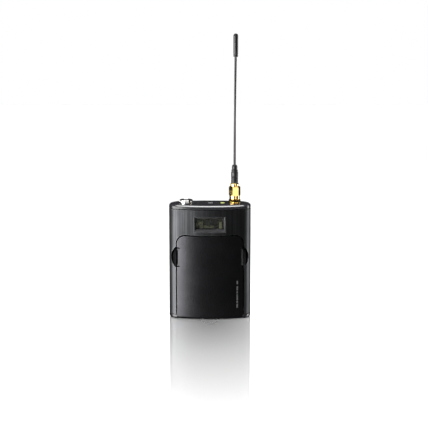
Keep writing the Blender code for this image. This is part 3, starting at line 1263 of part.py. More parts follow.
def make_clip():
    half = CLIP_WIDTH / 2
    ear_outer = half + GAP + CLIP_SHEET
    bracket = block(
        "clip_bracket",
        (-ear_outer, BRACKET_FRONT, PIVOT_Z - BRACKET_HEIGHT / 2),
        (ear_outer, BRACKET_BACK, PIVOT_Z + BRACKET_HEIGHT / 2),
    )
    pivot = (0, PIVOT_Y, PIVOT_Z)
    for side, word in ((-1, "left"), (1, "right")):
        near, far = sorted((side * (half + GAP), side * ear_outer))
        ear = flat_piece(
            "ear_" + word,
            [
                [(BRACKET_FRONT + CLIP_SHEET / 2, PIVOT_Z - EAR_HEIGHT / 2 - MM),
                 (PIVOT_Y, PIVOT_Z - EAR_HEIGHT / 2)]
                + arc(PIVOT_Y, PIVOT_Z, EAR_HEIGHT / 2, -math.pi / 2, math.pi / 2, 8)[1:-1]
                + [(PIVOT_Y, PIVOT_Z + EAR_HEIGHT / 2),
                   (BRACKET_FRONT + CLIP_SHEET / 2, PIVOT_Z + EAR_HEIGHT / 2 + MM)]
            ],
            near, far, "right",
        )
        join(bracket, ear)
    bore = CLIP_PIN_RADIUS + PIN_GAP
    reach = ear_outer + WIDE_OPEN
    cut(bracket, rod("ear_bore", bore, -reach, reach, pivot, "right", 20))
    for spread, word in ((SCREW_SPREAD, "upper"), (-SCREW_SPREAD, "lower")):
        seat = (0, BRACKET_BACK + GAP, PIVOT_Z + spread)
        shank = SCREW_RADIUS + PIN_GAP
        cut(bracket, rod("bracket_hole_" + word, shank, -3 * CLIP_SHEET, CLIP_SHEET, seat, "back", 20))
        length = BRACKET_BACK + GAP - (BACK_Y - WALL) + GAP
        screw_piece("clip_screw_" + word, seat, "back", length)
    finish(bracket, (0.03, 0.03, 0.03), 0.4, 0.6)
    pin = rod("clip_pin", CLIP_PIN_RADIUS, -ear_outer - GAP, ear_outer + GAP, pivot, "right", 20)
    finish(pin, (0.5, 0.5, 0.5), 0.3, 1.0)

    # The arm seen from the side: a thumb pad above the pivot, then down and in to the jaw at its foot.
    outer = BACK_Y + CLIP_STANDOFF
    jaw = BACK_Y + 2 * GAP + CLIP_SHEET
    spine = [
        (outer, PIVOT_Z + CLIP_PAD_HEIGHT),
        (outer, PIVOT_Z - CLIP_FLAT),
        (outer - CLIP_KNEE_LEAN, PIVOT_Z - CLIP_KNEE),
        (jaw, PIVOT_Z - CLIP_JAW_HIGH),
        (jaw, PIVOT_Z - CLIP_JAW_LOW),
        (jaw + CLIP_FLARE, PIVOT_Z - CLIP_LENGTH),
    ]
    arm = flat_piece("clip_arm", [strip_outline(spine, CLIP_SHEET)], -half, half, "right")
    for side, word in ((-1, "left"), (1, "right")):
        near, far = sorted((side * (half - CLIP_BARREL_LENGTH), side * half))
        barrel = rod("clip_barrel_" + word, CLIP_BARREL_RADIUS, near, far, pivot, "right", 20)
        web = block(
            "clip_web_" + word,
            (near, PIVOT_Y, PIVOT_Z - CLIP_BARREL_RADIUS),
            (far, outer - CLIP_SHEET / 2, PIVOT_Z + CLIP_BARREL_RADIUS),
        )
        join(arm, barrel, web)
    room = half - CLIP_BARREL_LENGTH
    cut(
        arm,
        rod("clip_bore", bore, -half - WIDE_OPEN, half + WIDE_OPEN, pivot, "right", 20),
        block(
            "spring_window",
            (-room, PIVOT_Y, PIVOT_Z - CLIP_SPRING_WINDOW),
            (room, outer + WIDE_OPEN, PIVOT_Z + CLIP_SPRING_WINDOW),
        ),
    )
    move_origin(arm, pivot)
    finish(arm, (0.03, 0.03, 0.03), 0.35, 0.6)

    # One leg of the spring rests on the bracket and the other under the thumb pad.
    length = CLIP_WIDTH - 2 * CLIP_BARREL_LENGTH - 4 * GAP
    coil = coil_points(CLIP_SPRING_TURNS, CLIP_SPRING_RADIUS, CLIP_SPRING_RADIUS, length, 10, math.pi)
    place = Matrix.Translation((-length / 2, PIVOT_Y, PIVOT_Z)) @ FACINGS["right"]
    points = moved(coil, place)
    leg = CLIP_PAD_HEIGHT * 0.65
    bracket_leg = Vector((points[0].x, BRACKET_BACK + CLIP_SPRING_WIRE + GAP, PIVOT_Z + leg))
    pad_leg = Vector((points[-1].x, outer - CLIP_SHEET - CLIP_SPRING_WIRE - GAP, PIVOT_Z + leg))
    points = [bracket_leg, *points, pad_leg]
    spring = wire("clip_spring", points, CLIP_SPRING_WIRE, 1)
    finish(spring, (0.6, 0.6, 0.6), 0.3, 1.0)


def make_base_screws():
    for side, word in ((-1, "left"), (1, "right")):
        seat = (side * BASE_SCREW_X, BASE_SCREW_Y, GAP + SCREW_HEAD_HEIGHT)
        screw_piece("bottom_screw_" + word, seat, "down", BASE_SCREW_LENGTH - SCREW_HEAD_HEIGHT - GAP)


make_sleeve()
make_top_cap()
make_bottom_cap()
make_seals()
make_display()
make_latches(make_cover())
make_scoops()
make_tray()
make_cells()
make_keys()
make_electronics()
make_connector()
make_panel_trim()
make_antenna_socket()
make_antenna()
make_clip()
make_base_screws()
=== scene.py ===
"""Bodypack radio transmitter with a whip antenna, standing on its base. Metres, +Z up, front towards -Y."""

import math

import bmesh
import bpy
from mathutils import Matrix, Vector


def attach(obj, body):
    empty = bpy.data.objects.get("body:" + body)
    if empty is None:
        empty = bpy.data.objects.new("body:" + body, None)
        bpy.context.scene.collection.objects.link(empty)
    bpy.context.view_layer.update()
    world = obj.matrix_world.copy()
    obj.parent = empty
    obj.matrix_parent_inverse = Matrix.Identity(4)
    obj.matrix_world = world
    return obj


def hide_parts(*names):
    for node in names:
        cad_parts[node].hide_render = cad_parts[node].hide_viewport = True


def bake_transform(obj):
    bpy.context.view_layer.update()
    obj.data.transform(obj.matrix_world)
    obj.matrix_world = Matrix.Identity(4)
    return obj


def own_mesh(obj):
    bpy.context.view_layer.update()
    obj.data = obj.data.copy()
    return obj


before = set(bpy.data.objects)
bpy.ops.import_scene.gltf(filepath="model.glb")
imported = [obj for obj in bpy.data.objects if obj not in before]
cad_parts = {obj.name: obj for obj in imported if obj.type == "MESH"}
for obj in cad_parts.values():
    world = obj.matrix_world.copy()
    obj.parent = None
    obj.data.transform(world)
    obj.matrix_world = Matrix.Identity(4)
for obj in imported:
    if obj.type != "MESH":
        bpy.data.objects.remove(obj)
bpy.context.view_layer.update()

bpy.ops.object.select_all(action="DESELECT")
MM = 0.001


# Camera: a long lens in front of the pack and well above it, which looks down on its top panel. The
# colours are shown as they are, with no film curve.

CAMERA_PLACE = (3.23 * MM, -1500 * MM, 362.4 * MM)
CAMERA_TARGET = (3.23 * MM, 0.0, 82.2 * MM)
LENS_LENGTH, LENS_WIDTH = 163.5, 36.0


def aim(thing, target):
    """Turns a camera or a light towards a point."""
    thing.rotation_euler = (Vector(target) - thing.location).to_track_quat("-Z", "Y").to_euler()


bpy.ops.object.camera_add(location=CAMERA_PLACE)
camera = bpy.context.object
camera.name = "studio_camera"
camera.data.lens = LENS_LENGTH
camera.data.sensor_width = LENS_WIDTH
camera.data.clip_start = 0.01
aim(camera, CAMERA_TARGET)
bpy.context.scene.camera = camera
bpy.context.scene.view_settings.view_transform = "Standard"


# Table: a wide top painted white, with a polished patch under and before the pack that mirrors it and
# fades out all round. It throws no light and no shadow on the pack.

TABLE_SIZE = 2.6
TABLE_PAINT = (0.82, 0.82, 0.82, 1)
POLISH_MIDDLE = (0.0, -0.012, 0.0)
POLISH_REACH = (0.13, 0.34, 1.0)
POLISH, POLISH_ROUGHNESS = 0.75, 0.03
bpy.ops.mesh.primitive_grid_add(x_subdivisions=3, y_subdivisions=3, size=TABLE_SIZE, location=(0, 0, 0))
table = bpy.context.object
table.name = "table_top"
table.visible_glossy = False
table.visible_diffuse = False
table.visible_shadow = False
table_white = bpy.data.materials.new("table_white")
table_white.use_nodes = True
nodes, links = table_white.node_tree.nodes, table_white.node_tree.links
nodes.clear()
place = nodes.new("ShaderNodeTexCoord")
spot = nodes.new("ShaderNodeMapping")
spot.vector_type = "TEXTURE"
spot.inputs["Location"].default_value = POLISH_MIDDLE
spot.inputs["Scale"].default_value = POLISH_REACH
fade = nodes.new("ShaderNodeTexGradient")
fade.gradient_type = "SPHERICAL"
strength = nodes.new("ShaderNodeMath")
strength.operation = "MULTIPLY"
strength.inputs[1].default_value = POLISH
paint = nodes.new("ShaderNodeBsdfDiffuse")
paint.inputs["Color"].default_value = TABLE_PAINT
gloss = nodes.new("ShaderNodeBsdfGlossy")
gloss.inputs["Color"].default_value = (1, 1, 1, 1)
gloss.inputs["Roughness"].default_value = POLISH_ROUGHNESS
blended = nodes.new("ShaderNodeMixShader")
out = nodes.new("ShaderNodeOutputMaterial")
links.new(place.outputs["Object"], spot.inputs["Vector"])
links.new(spot.outputs["Vector"], fade.inputs["Vector"])
links.new(fade.outputs["Color"], strength.inputs[0])
links.new(strength.outputs["Value"], blended.inputs["Fac"])
links.new(paint.outputs["BSDF"], blended.inputs[1])
links.new(gloss.outputs["BSDF"], blended.inputs[2])
links.new(blended.outputs["Shader"], out.inputs["Surface"])
table.data.materials.append(table_white)


# Lights: a large soft one on the left, a narrow one on the right and a small one overhead. Others light
# the caps, the trim or the gold alone, and four white screens light the table alone.

BODY_MIDDLE = (0.0, 0.0, 0.05)
LIGHT_ABOVE = (0.0, -0.12, 0.75)
SCREEN_AWAY, SCREEN_HIGH, SCREEN_SIZE, SCREEN_TARGET = 2.6, 1.2, (5.2, 3.6), (0, 0, 0.25)
table_only = bpy.data.collections.new("table_only")
table_only.objects.link(table)
polished_only = bpy.data.collections.new("polished_only")
top_lit = bpy.data.collections.new("top_lit")
trim_lit = bpy.data.collections.new("trim_lit")


def soft_light(name, place, target, size, power, only=None):
    """A rectangular studio light of a given width and height, which can light one collection alone."""
    bpy.ops.object.light_add(type="AREA", location=place)
    light = bpy.context.object
    light.name = name
    light.data.shape = "RECTANGLE"
    light.data.size, light.data.size_y = size
    light.data.energy = power
    light.visible_camera = False
    aim(light, target)
    if only:
        light.light_linking.receiver_collection = only


soft_light("light_left", (-0.66, -0.4, -0.02), BODY_MIDDLE, (0.8, 0.8), 18.0)
soft_light("light_right", (0.6, 0.12, -0.02), BODY_MIDDLE, (0.14, 0.8), 3.6)
soft_light("light_top", LIGHT_ABOVE, BODY_MIDDLE, (0.6, 0.3), 2.0)
soft_light("light_trim", LIGHT_ABOVE, BODY_MIDDLE, (0.6, 0.3), 8.0, only=trim_lit)
soft_light("light_cap", (0.0, -0.3, 0.62), (0, 0, 0.09), (0.8, 0.55), 27.0, only=top_lit)
soft_light("light_foot", (0.0, -0.5, -0.5), BODY_MIDDLE, (0.5, 0.3), 8.0, only=trim_lit)
soft_light("card_left", (-0.34, -0.52, -0.02), BODY_MIDDLE, (0.34, 0.5), 1.5, only=polished_only)
soft_light("card_right", (0.3, -0.54, -0.02), BODY_MIDDLE, (0.3, 0.5), 0.8, only=polished_only)
for side, x, y, power in (
    ("front", 0, -1, 48), ("back", 0, 1, 132), ("left", -1, 0, 82), ("right", 1, 0, 82),
):
    soft_light("screen_" + side, (SCREEN_AWAY * x, SCREEN_AWAY * y, SCREEN_HIGH), SCREEN_TARGET,
               SCREEN_SIZE, power, only=table_only)


# Backdrop: plain white where the camera sees it, and a faint cool glow for everything else, so that
# the lights alone shape the pack.

BACKDROP_GLOW = 0.012
world = bpy.data.worlds.new("studio")
bpy.context.scene.world = world
world.use_nodes = True
nodes, links = world.node_tree.nodes, world.node_tree.links
nodes.clear()
ray = nodes.new("ShaderNodeLightPath")
seen = nodes.new("ShaderNodeBackground")
seen.inputs["Color"].default_value = (1, 1, 1, 1)
seen.inputs["Strength"].default_value = 1.0
dim = nodes.new("ShaderNodeBackground")
dim.inputs["Color"].default_value = (0.92, 0.96, 1.0, 1)
dim.inputs["Strength"].default_value = BACKDROP_GLOW
both = nodes.new("ShaderNodeMixShader")
out = nodes.new("ShaderNodeOutputWorld")
links.new(ray.outputs["Is Camera Ray"], both.inputs["Fac"])
links.new(dim.outputs["Background"], both.inputs[1])
links.new(seen.outputs["Background"], both.inputs[2])
links.new(both.outputs["Shader"], out.inputs["Surface"])


# Sleeve: a drawn aluminium tube with a lens section, brushed upright, anodised black and cut open at
# the front for the display, the battery cover and the two finger scoops. The end caps' lips enter it.

BODY_HALF = 32.0 * MM
FRONT_FACE = -12.5 * MM
FRONT_ARC = (0.0, 70.5 * MM)
BACK_ARC = (0.0, -127.5 * MM)
FRONT_SIDE_X = 23.228 * MM
BACK_SIDE_X = 21.26 * MM
FRONT_TURN = math.atan2(FRONT_ARC[1], FRONT_SIDE_X)
BACK_TURN = math.atan2(-BACK_ARC[1], BACK_SIDE_X)
SECTION_ARCS = (
    (-FRONT_SIDE_X, 0.0, FRONT_TURN, 14), (*FRONT_ARC, math.pi - 2 * FRONT_TURN, 30),
    (FRONT_SIDE_X, 0.0, FRONT_TURN, 14), (BACK_SIDE_X, 0.0, BACK_TURN, 14),
    (*BACK_ARC, math.pi - 2 * BACK_TURN, 24), (-BACK_SIDE_X, 0.0, BACK_TURN, 14),
)
SLEEVE_LOW, SLEEVE_HIGH = 3.75 * MM, 87.1 * MM
SLEEVE_WALL = 1.6 * MM
EDGE_BREAK = 0.24 * MM
COVER_HALF, COVER_TOP, COVER_CORNER, COVER_DIP = 25.8 * MM, 66.0 * MM, 6.5 * MM, 0.5 * MM
COVER_GAP = 1.1 * MM
SCOOP_Z, SCOOP_ARC_X, SCOOP_ARC = 49.3 * MM, 18.75 * MM, 11.75 * MM
WINDOW_HALF, WINDOW_LOW, WINDOW_HIGH = 12.5 * MM, 69.35 * MM, 81.95 * MM
PAST = 2.0 * MM
BRUSH_LINES = (1, 1, 0.012)
LIT_ALONE = {"gold": polished_only, "cap_plastic": top_lit, "scoop_plastic": top_lit,
             "silver": trim_lit, "bezel_metal": trim_lit}


def ready():
    """Leaves the last piece, so that a new one can be added by itself."""
    if bpy.context.mode != "OBJECT":
        bpy.ops.object.mode_set(mode="OBJECT")
    bpy.ops.object.select_all(action="DESELECT")


def begin(name):
    """Names the new primitive, puts its place into its mesh and opens it for shaping."""
    piece = bpy.context.object
    piece.name = piece.data.name = name
    bpy.ops.object.transform_apply(location=True, rotation=True, scale=True)
    bpy.ops.object.mode_set(mode="EDIT")
    bpy.ops.mesh.select_all(action="SELECT")
    return piece


def pick(piece, kind, chosen):
    """Selects the vertices, edges or faces whose middle, and normal or direction, chosen accepts."""
    bpy.ops.mesh.select_mode(type=kind)
    bpy.ops.mesh.select_all(action="DESELECT")
    shape = bmesh.from_edit_mesh(piece.data)
    if kind == "VERT":
        found = [(v, v.co, v.normal) for v in shape.verts]
    elif kind == "EDGE":
        found = [(e, (e.verts[0].co + e.verts[1].co) / 2, (e.verts[1].co - e.verts[0].co).normalized())
                 for e in shape.edges]
    else:
        found = [(f, f.calc_center_median(), f.normal) for f in shape.faces]
    for part, middle, way in found:
        part.select_set(chosen(middle, way))
    shape.select_flush_mode()
    bmesh.update_edit_mesh(piece.data)


def shade(piece, angle=30.0):
    """Shades a piece smooth between its sharp edges, with its faces pointing out."""
    ready()
    piece.select_set(True)
    bpy.context.view_layer.objects.active = piece
    bpy.ops.object.mode_set(mode="EDIT")
    bpy.ops.mesh.select_all(action="SELECT")
    bpy.ops.mesh.normals_make_consistent(inside=False)
    bpy.ops.object.mode_set(mode="OBJECT")
    bpy.ops.object.shade_smooth_by_angle(angle=math.radians(angle))
    return piece


def modify(piece, kind, **settings):
    """Adds one modifier to a piece and applies it."""
    ready()
    step = piece.modifiers.new(kind.lower(), kind)
    for key, value in settings.items():
        setattr(step, key, value)
    bpy.context.view_layer.objects.active = piece
    bpy.ops.object.modifier_apply(modifier=step.name)


def carve(piece, *tools, operation="DIFFERENCE"):
    """Cuts the tools out of a piece, or joins or keeps what is common, and takes the tools away."""
    for tool in tools:
        modify(piece, "BOOLEAN", object=tool, operation=operation, solver="EXACT")
        bpy.data.objects.remove(tool, do_unlink=True)
    return piece


def soften(piece, width, segments=2, angle=40.0):
    """Rounds every edge sharper than an angle."""
    modify(piece, "BEVEL", width=width, segments=segments, limit_method="ANGLE",
           angle_limit=math.radians(angle), use_clamp_overlap=True)
    shade(piece)
    modify(piece, "WEIGHTED_NORMAL", keep_sharp=True, weight=80)
    return piece


def lens(name, inset, low, high):
    """A solid with the body's section, set in by inset: one upright edge swept round the six arcs."""
    ready()
    tall = high - low
    start = -BODY_HALF + inset
    bpy.ops.mesh.primitive_plane_add(
        size=tall, location=(start + tall / 2, 0, (low + high) / 2), rotation=(math.pi / 2, 0, 0))
    piece = begin(name)
    pick(piece, "VERT", lambda co, way: co.x > start + 1e-6)
    bpy.ops.mesh.delete(type="VERT")
    bpy.ops.mesh.select_all(action="SELECT")
    for x, y, angle, steps in SECTION_ARCS:
        bpy.ops.mesh.spin(steps=steps, angle=-angle, center=(x, y, 0), axis=(0, 0, 1))
    bpy.ops.mesh.select_all(action="SELECT")
    bpy.ops.mesh.remove_doubles(threshold=1e-6)
    for height in (low, high):
        pick(piece, "VERT", lambda co, way: abs(co.z - height) < 1e-7)
        bpy.ops.mesh.edge_face_add()
    bpy.ops.mesh.select_all(action="SELECT")
    bpy.ops.mesh.normals_make_consistent(inside=False)
    return piece


def box(name, low, high):
    """A block between two corners, for cutting or as the start of a squared piece."""
    ready()
    low, high = Vector(low), Vector(high)
    bpy.ops.mesh.primitive_cube_add(size=1, location=(low + high) / 2, scale=high - low)
    return begin(name)


def cover_shape(name, margin, low, front, back):
    """The battery cover seen from the front, as a solid: rounded top corners and a slightly dished top."""
    half, high = COVER_HALF + margin, COVER_TOP + COVER_DIP + margin
    piece = box(name, (-half, front, low), (half, back, high))
    pick(piece, "EDGE", lambda middle, way: abs(way.y) > 0.9 and middle.z > high - 1e-6)
    bpy.ops.mesh.bevel(offset=COVER_CORNER + margin, segments=10, profile=0.5, affect="EDGES")
    run = half - COVER_CORNER - margin
    pick(piece, "EDGE", lambda middle, way: abs(middle.x) < 1e-7 and middle.z > high - 1e-6)
    bpy.ops.mesh.subdivide(number_cuts=7)
    for step in range(-3, 4):
        x = run * step / 4
        pick(piece, "VERT", lambda co, way: abs(co.x - x) < 1e-5 and co.z > high - 1e-6)
        bpy.ops.transform.translate(value=(0, 0, -COVER_DIP * (1 - (x / run) ** 2)))
    return piece


def rod(name, radius, start, end, sides=48):
    """A round bar between two points that lie along one axis."""
    ready()
    start, end = Vector(start), Vector(end)
    way = end - start
    bpy.ops.mesh.primitive_cylinder_add(
        vertices=sides, radius=radius, depth=way.length, location=(start + end) / 2,
        rotation=way.to_track_quat("Z", "Y").to_euler())
    return begin(name)


def coating(name, colour, roughness, metallic=0.0, grain=3000.0, depth=0.00001, cloud=70.0, drift=0.18,
            stretch=(1, 1, 1), streak=0.0, rub=0.0, rub_colour=(0.3, 0.3, 0.3), spread=0.06):
    """A finish with a fine grain raised by depth, slow changes of shade, and rubbed edges.

    Stretch draws the grain out along an axis, as a brush does, and streak adds broader brush lines.
    """
    material = bpy.data.materials.new(name)
    material.use_nodes = True
    nodes, links = material.node_tree.nodes, material.node_tree.links
    shader = nodes["Principled BSDF"]
    shader.inputs["Metallic"].default_value = metallic
    place = nodes.new("ShaderNodeTexCoord")
    drawn = nodes.new("ShaderNodeMapping")
    drawn.inputs["Scale"].default_value = stretch
    links.new(place.outputs["Object"], drawn.inputs["Vector"])

    def noise(vector, scale, detail):
        texture = nodes.new("ShaderNodeTexNoise")
        texture.inputs["Scale"].default_value = scale
        texture.inputs["Detail"].default_value = detail
        links.new(vector, texture.inputs["Vector"])
        return texture.outputs["Fac"]

    def ranged(value, start, end, low, high):
        step = nodes.new("ShaderNodeMapRange")
        for socket, number in zip(("From Min", "From Max", "To Min", "To Max"), (start, end, low, high)):
            step.inputs[socket].default_value = number
        links.new(value, step.inputs["Value"])
        return step.outputs["Result"]

    def blend(factor, one, two):
        step = nodes.new("ShaderNodeMix")
        step.data_type = "RGBA"
        links.new(factor, step.inputs["Factor"])
        for socket, value in (("A", one), ("B", two)):
            target = next(s for s in step.inputs if s.name == socket and s.type == "RGBA")
            if isinstance(value, tuple):
                target.default_value = (*value, 1)
            else:
                links.new(value, target)
        return next(s for s in step.outputs if s.type == "RGBA")

    fine = noise(drawn.outputs["Vector"], grain, 3)
    cloudy = noise(place.outputs["Object"], cloud, 4)
    dark, light = (tuple(c * (1 + side * drift) for c in colour) for side in (-1, 1))
    shown = blend(ranged(cloudy, 0.3, 0.7, 0, 1), dark, light)
    if streak:
        broad = noise(drawn.outputs["Vector"], grain / 4, 2)
        pale = tuple(c * (1 + 2.5 * streak) for c in colour)
        shown = blend(ranged(broad, 0.45, 0.75, 0, streak), shown, pale)
    if rub:
        flat, rounded = nodes.new("ShaderNodeNewGeometry"), nodes.new("ShaderNodeBevel")
        rounded.inputs["Radius"].default_value = 0.3 * MM
        turned_by = nodes.new("ShaderNodeVectorMath")
        turned_by.operation = "DOT_PRODUCT"
        links.new(flat.outputs["Normal"], turned_by.inputs[0])
        links.new(rounded.outputs["Normal"], turned_by.inputs[1])
        worn = ranged(turned_by.outputs["Value"], 0.985, 0.85, 0, rub)
        shown = blend(worn, shown, rub_colour)
    links.new(shown, shader.inputs["Base Color"])
    links.new(ranged(fine, 0.25, 0.75, roughness - spread, roughness + spread), shader.inputs["Roughness"])
    bump = nodes.new("ShaderNodeBump")
    bump.inputs["Strength"].default_value = 0.6
    bump.inputs["Distance"].default_value = depth
    links.new(fine, bump.inputs["Height"])
    links.new(bump.outputs["Normal"], shader.inputs["Normal"])
    return material


def place_on(piece, material, body, slot, *nodes):
    """Gives a finished piece its material and its body, hides the solids that it stands for, and for some
    slots adds it to the collection that one light reaches alone.
    """
    piece.data.materials.clear()
    piece.data.materials.append(material)
    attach(piece, body)
    if nodes:
        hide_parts(*nodes)
    if slot in LIT_ALONE:
        LIT_ALONE[slot].objects.link(piece)


anodised = coating("anodised_brushed", (0.036, 0.037, 0.039), 0.44, 0.9, grain=3200, depth=0.000016,
                   stretch=BRUSH_LINES, streak=0.6, rub=0.7, rub_colour=(0.3, 0.3, 0.31), spread=0.08)
sleeve = carve(lens("sleeve_shell", 0, SLEEVE_LOW, SLEEVE_HIGH),
               lens("bore", SLEEVE_WALL, SLEEVE_LOW - PAST, SLEEVE_HIGH + PAST))
carve(sleeve, cover_shape("cover_opening", COVER_GAP, -PAST, FRONT_FACE - PAST, -1.6 * MM))
carve(sleeve, box("display_opening", (-WINDOW_HALF, FRONT_FACE - PAST, WINDOW_LOW),
                  (WINDOW_HALF, -6.3 * MM, WINDOW_HIGH)))
for side in (-1, 1):
    x = side * SCOOP_ARC_X
    carve(sleeve, rod("finger_opening", SCOOP_ARC, (x, FRONT_FACE - PAST, SCOOP_Z),
                      (x, -2.5 * MM, SCOOP_Z), 96))
soften(sleeve, EDGE_BREAK)
place_on(sleeve, anodised, "housing", "sleeve_metal", "housing_sleeve")


# Top cap: glossy black moulded nylon with a soft front edge, a lip that enters the sleeve, openings for
# the connector, the sync window, the switch, the lamp and the antenna, and a notch in its back rim.

CAP_LOW, CAP_HIGH, CAP_ROUND = 87.85 * MM, 91.1 * MM, 2.0 * MM
LIP_INSET, CAVITY_INSET, LIP_FOOT, PANEL_UNDER = 1.9 * MM, 3.1 * MM, 84.2 * MM, 89.3 * MM
CONNECTOR_X, ANTENNA_X, LAMP_X = -18.6 * MM, 19.35 * MM, 10 * MM


def round_rim(piece, height, width, segments):
    """Rounds the rim of a lens at one height."""
    pick(piece, "EDGE", lambda middle, way: abs(middle.z - height) < 1e-7 and abs(way.z) < 0.01)
    bpy.ops.mesh.bevel(offset=width, segments=segments, profile=0.5, affect="EDGES")


cap_black = coating("cap_nylon", (0.007, 0.007, 0.008), 0.24, grain=5200, depth=0.000006, cloud=90,
                    rub=0.4, rub_colour=(0.09, 0.09, 0.095), spread=0.05)
top_cap = lens("top_cap_shell", 0, CAP_LOW, CAP_HIGH)
round_rim(top_cap, CAP_HIGH, CAP_ROUND, 7)
carve(top_cap, lens("cap_lip", LIP_INSET, LIP_FOOT, CAP_HIGH - 1.3 * MM), operation="UNION")
carve(top_cap, lens("cap_cavity", CAVITY_INSET, LIP_FOOT - PAST, PANEL_UNDER))
for radius, x in ((4.7 * MM, CONNECTOR_X), (3.1 * MM, ANTENNA_X), (1.75 * MM, LAMP_X)):
    carve(top_cap, rod("panel_hole", radius, (x, 0, LIP_FOOT), (x, 0, CAP_HIGH + PAST)))
carve(
    top_cap,
    box("sync_hole", (-10.2 * MM, -1.75 * MM, LIP_FOOT), (-7.8 * MM, 1.75 * MM, CAP_HIGH + PAST)),
    box("switch_slot", (-5.0 * MM, -1.3 * MM, LIP_FOOT), (6.0 * MM, 1.3 * MM, CAP_HIGH + PAST)),
    box("rim_notch", (-0.85 * MM, 10.5 * MM, CAP_HIGH - 1.2 * MM),
        (1.85 * MM, 12.5 * MM + PAST, CAP_HIGH + PAST)),
)
soften(top_cap, 0.12 * MM)
place_on(top_cap, cap_black, "housing", "cap_plastic", "top_cap")


# Bottom cap: the same nylon, with a round foot edge, a bulkhead behind the cover's foot, two hinge
# barrels on short arms and two sunk screw seats in its base.

BASE_ROUND, BASE_FLOOR, BASE_HIGH, BASE_LIP = 1.6 * MM, 2.6 * MM, 3.1 * MM, 6.7 * MM
RECESS_HALF, BULKHEAD = 26.1 * MM, -4.8 * MM
HINGE_Y, HINGE_Z, BARREL, HINGE_BORE = -9.2 * MM, 3.8 * MM, 1.5 * MM, 0.8 * MM


def span(side, near, far):
    """The lower and the higher end of a stretch on one side of the middle."""
    return sorted((side * near, side * far))


def turned(name, profile, centre, way=(0, 0, 1), sides=64):
    """A piece turned about an axis: one ring drawn out and resized along a profile of (radius, height)."""
    ready()
    radius, height = profile[0]
    bpy.ops.mesh.primitive_circle_add(vertices=sides, radius=radius, location=(0, 0, height))
    piece = begin(name)
    for wide, high in profile[1:]:
        bpy.ops.mesh.extrude_edges_move(TRANSFORM_OT_translate={"value": (0, 0, high - height)})
        bpy.ops.transform.resize(value=(wide / radius, wide / radius, 1), center_override=(0, 0, 0))
        radius, height = wide, high
    bpy.ops.mesh.select_all(action="SELECT")
    bpy.ops.mesh.remove_doubles(threshold=1e-7)
    if profile[0] != profile[-1]:
        for end in (profile[0], profile[-1]):
            pick(piece, "VERT",
                 lambda co, way: abs(co.z - end[1]) < 1e-7 and abs(co.xy.length - end[0]) < 1e-7)
            bpy.ops.mesh.edge_face_add()
    bpy.ops.object.mode_set(mode="OBJECT")
    piece.rotation_euler = Vector(way).to_track_quat("Z", "Y").to_euler()
    piece.location = centre
    bpy.ops.object.transform_apply(location=True, rotation=True, scale=True)
    return piece


bottom_cap = lens("bottom_cap_shell", 0, 0, BASE_HIGH)
round_rim(bottom_cap, 0, BASE_ROUND, 6)
carve(bottom_cap, lens("base_lip", LIP_INSET, BASE_FLOOR / 2, BASE_LIP), operation="UNION")
carve(bottom_cap, lens("base_cavity", CAVITY_INSET, BASE_FLOOR, BASE_LIP + PAST))
carve(bottom_cap, box("bulkhead", (-RECESS_HALF, BULKHEAD, BASE_FLOOR / 2),
                      (RECESS_HALF, BULKHEAD + 1.2 * MM, BASE_LIP)), operation="UNION")
carve(bottom_cap, box("foot_recess", (-RECESS_HALF, FRONT_FACE - PAST, -PAST),
                      (RECESS_HALF, BULKHEAD, BASE_LIP + PAST)))
for side in (-1, 1):
    near, far = span(side, 9.3 * MM, 12.3 * MM)
    arm = box("hinge_arm", (near, HINGE_Y, HINGE_Z + 0.1 * MM),
              (far, BULKHEAD + 0.6 * MM, HINGE_Z + 1.2 * MM))
    carve(bottom_cap, arm, rod("hinge_barrel", BARREL, (near, HINGE_Y, HINGE_Z), (far, HINGE_Y, HINGE_Z)),
          operation="UNION")
    foot = (side * 19 * MM, 4 * MM, 0)
    carve(bottom_cap, turned("screw_seat", [(2.0 * MM, -PAST), (2.0 * MM, 1.3 * MM), (1.1 * MM, 1.3 * MM),
                                            (1.1 * MM, BASE_FLOOR + PAST)], foot, sides=40))
carve(bottom_cap, rod("hinge_bore", HINGE_BORE, (-13 * MM, HINGE_Y, HINGE_Z), (13 * MM, HINGE_Y, HINGE_Z)))
soften(bottom_cap, 0.12 * MM)
place_on(bottom_cap, cap_black, "housing", "cap_plastic", "bottom_cap")


# Seals: thin rings of soft black rubber, squeezed in the seams between the sleeve and the caps, a little
# back from the surface. The lower one stops at the battery cover.

seal_rubber = coating("seal_rubber", (0.005, 0.005, 0.005), 0.85, grain=2600, depth=0.00002, cloud=160)
for place, low in (("top", 87.35 * MM), ("bottom", 3.25 * MM)):
    seal = lens(place + "_seal", 0.75 * MM, low, low + 0.3 * MM)
    carve(seal, lens("seal_inside", SLEEVE_WALL, low - PAST, low + PAST))
    if place == "bottom":
        carve(seal, box("cover_gap", (-RECESS_HALF, FRONT_FACE - PAST, 0),
                        (RECESS_HALF, BULKHEAD, low + PAST)))
    soften(seal, 0.08 * MM)
    place_on(seal, seal_rubber, "housing", "seal_rubber", place + "_gasket")


# Display frame: a black metal surround that follows the front's curve, with a thin flat rim and a wide
# bevel on all four sides down to the window.

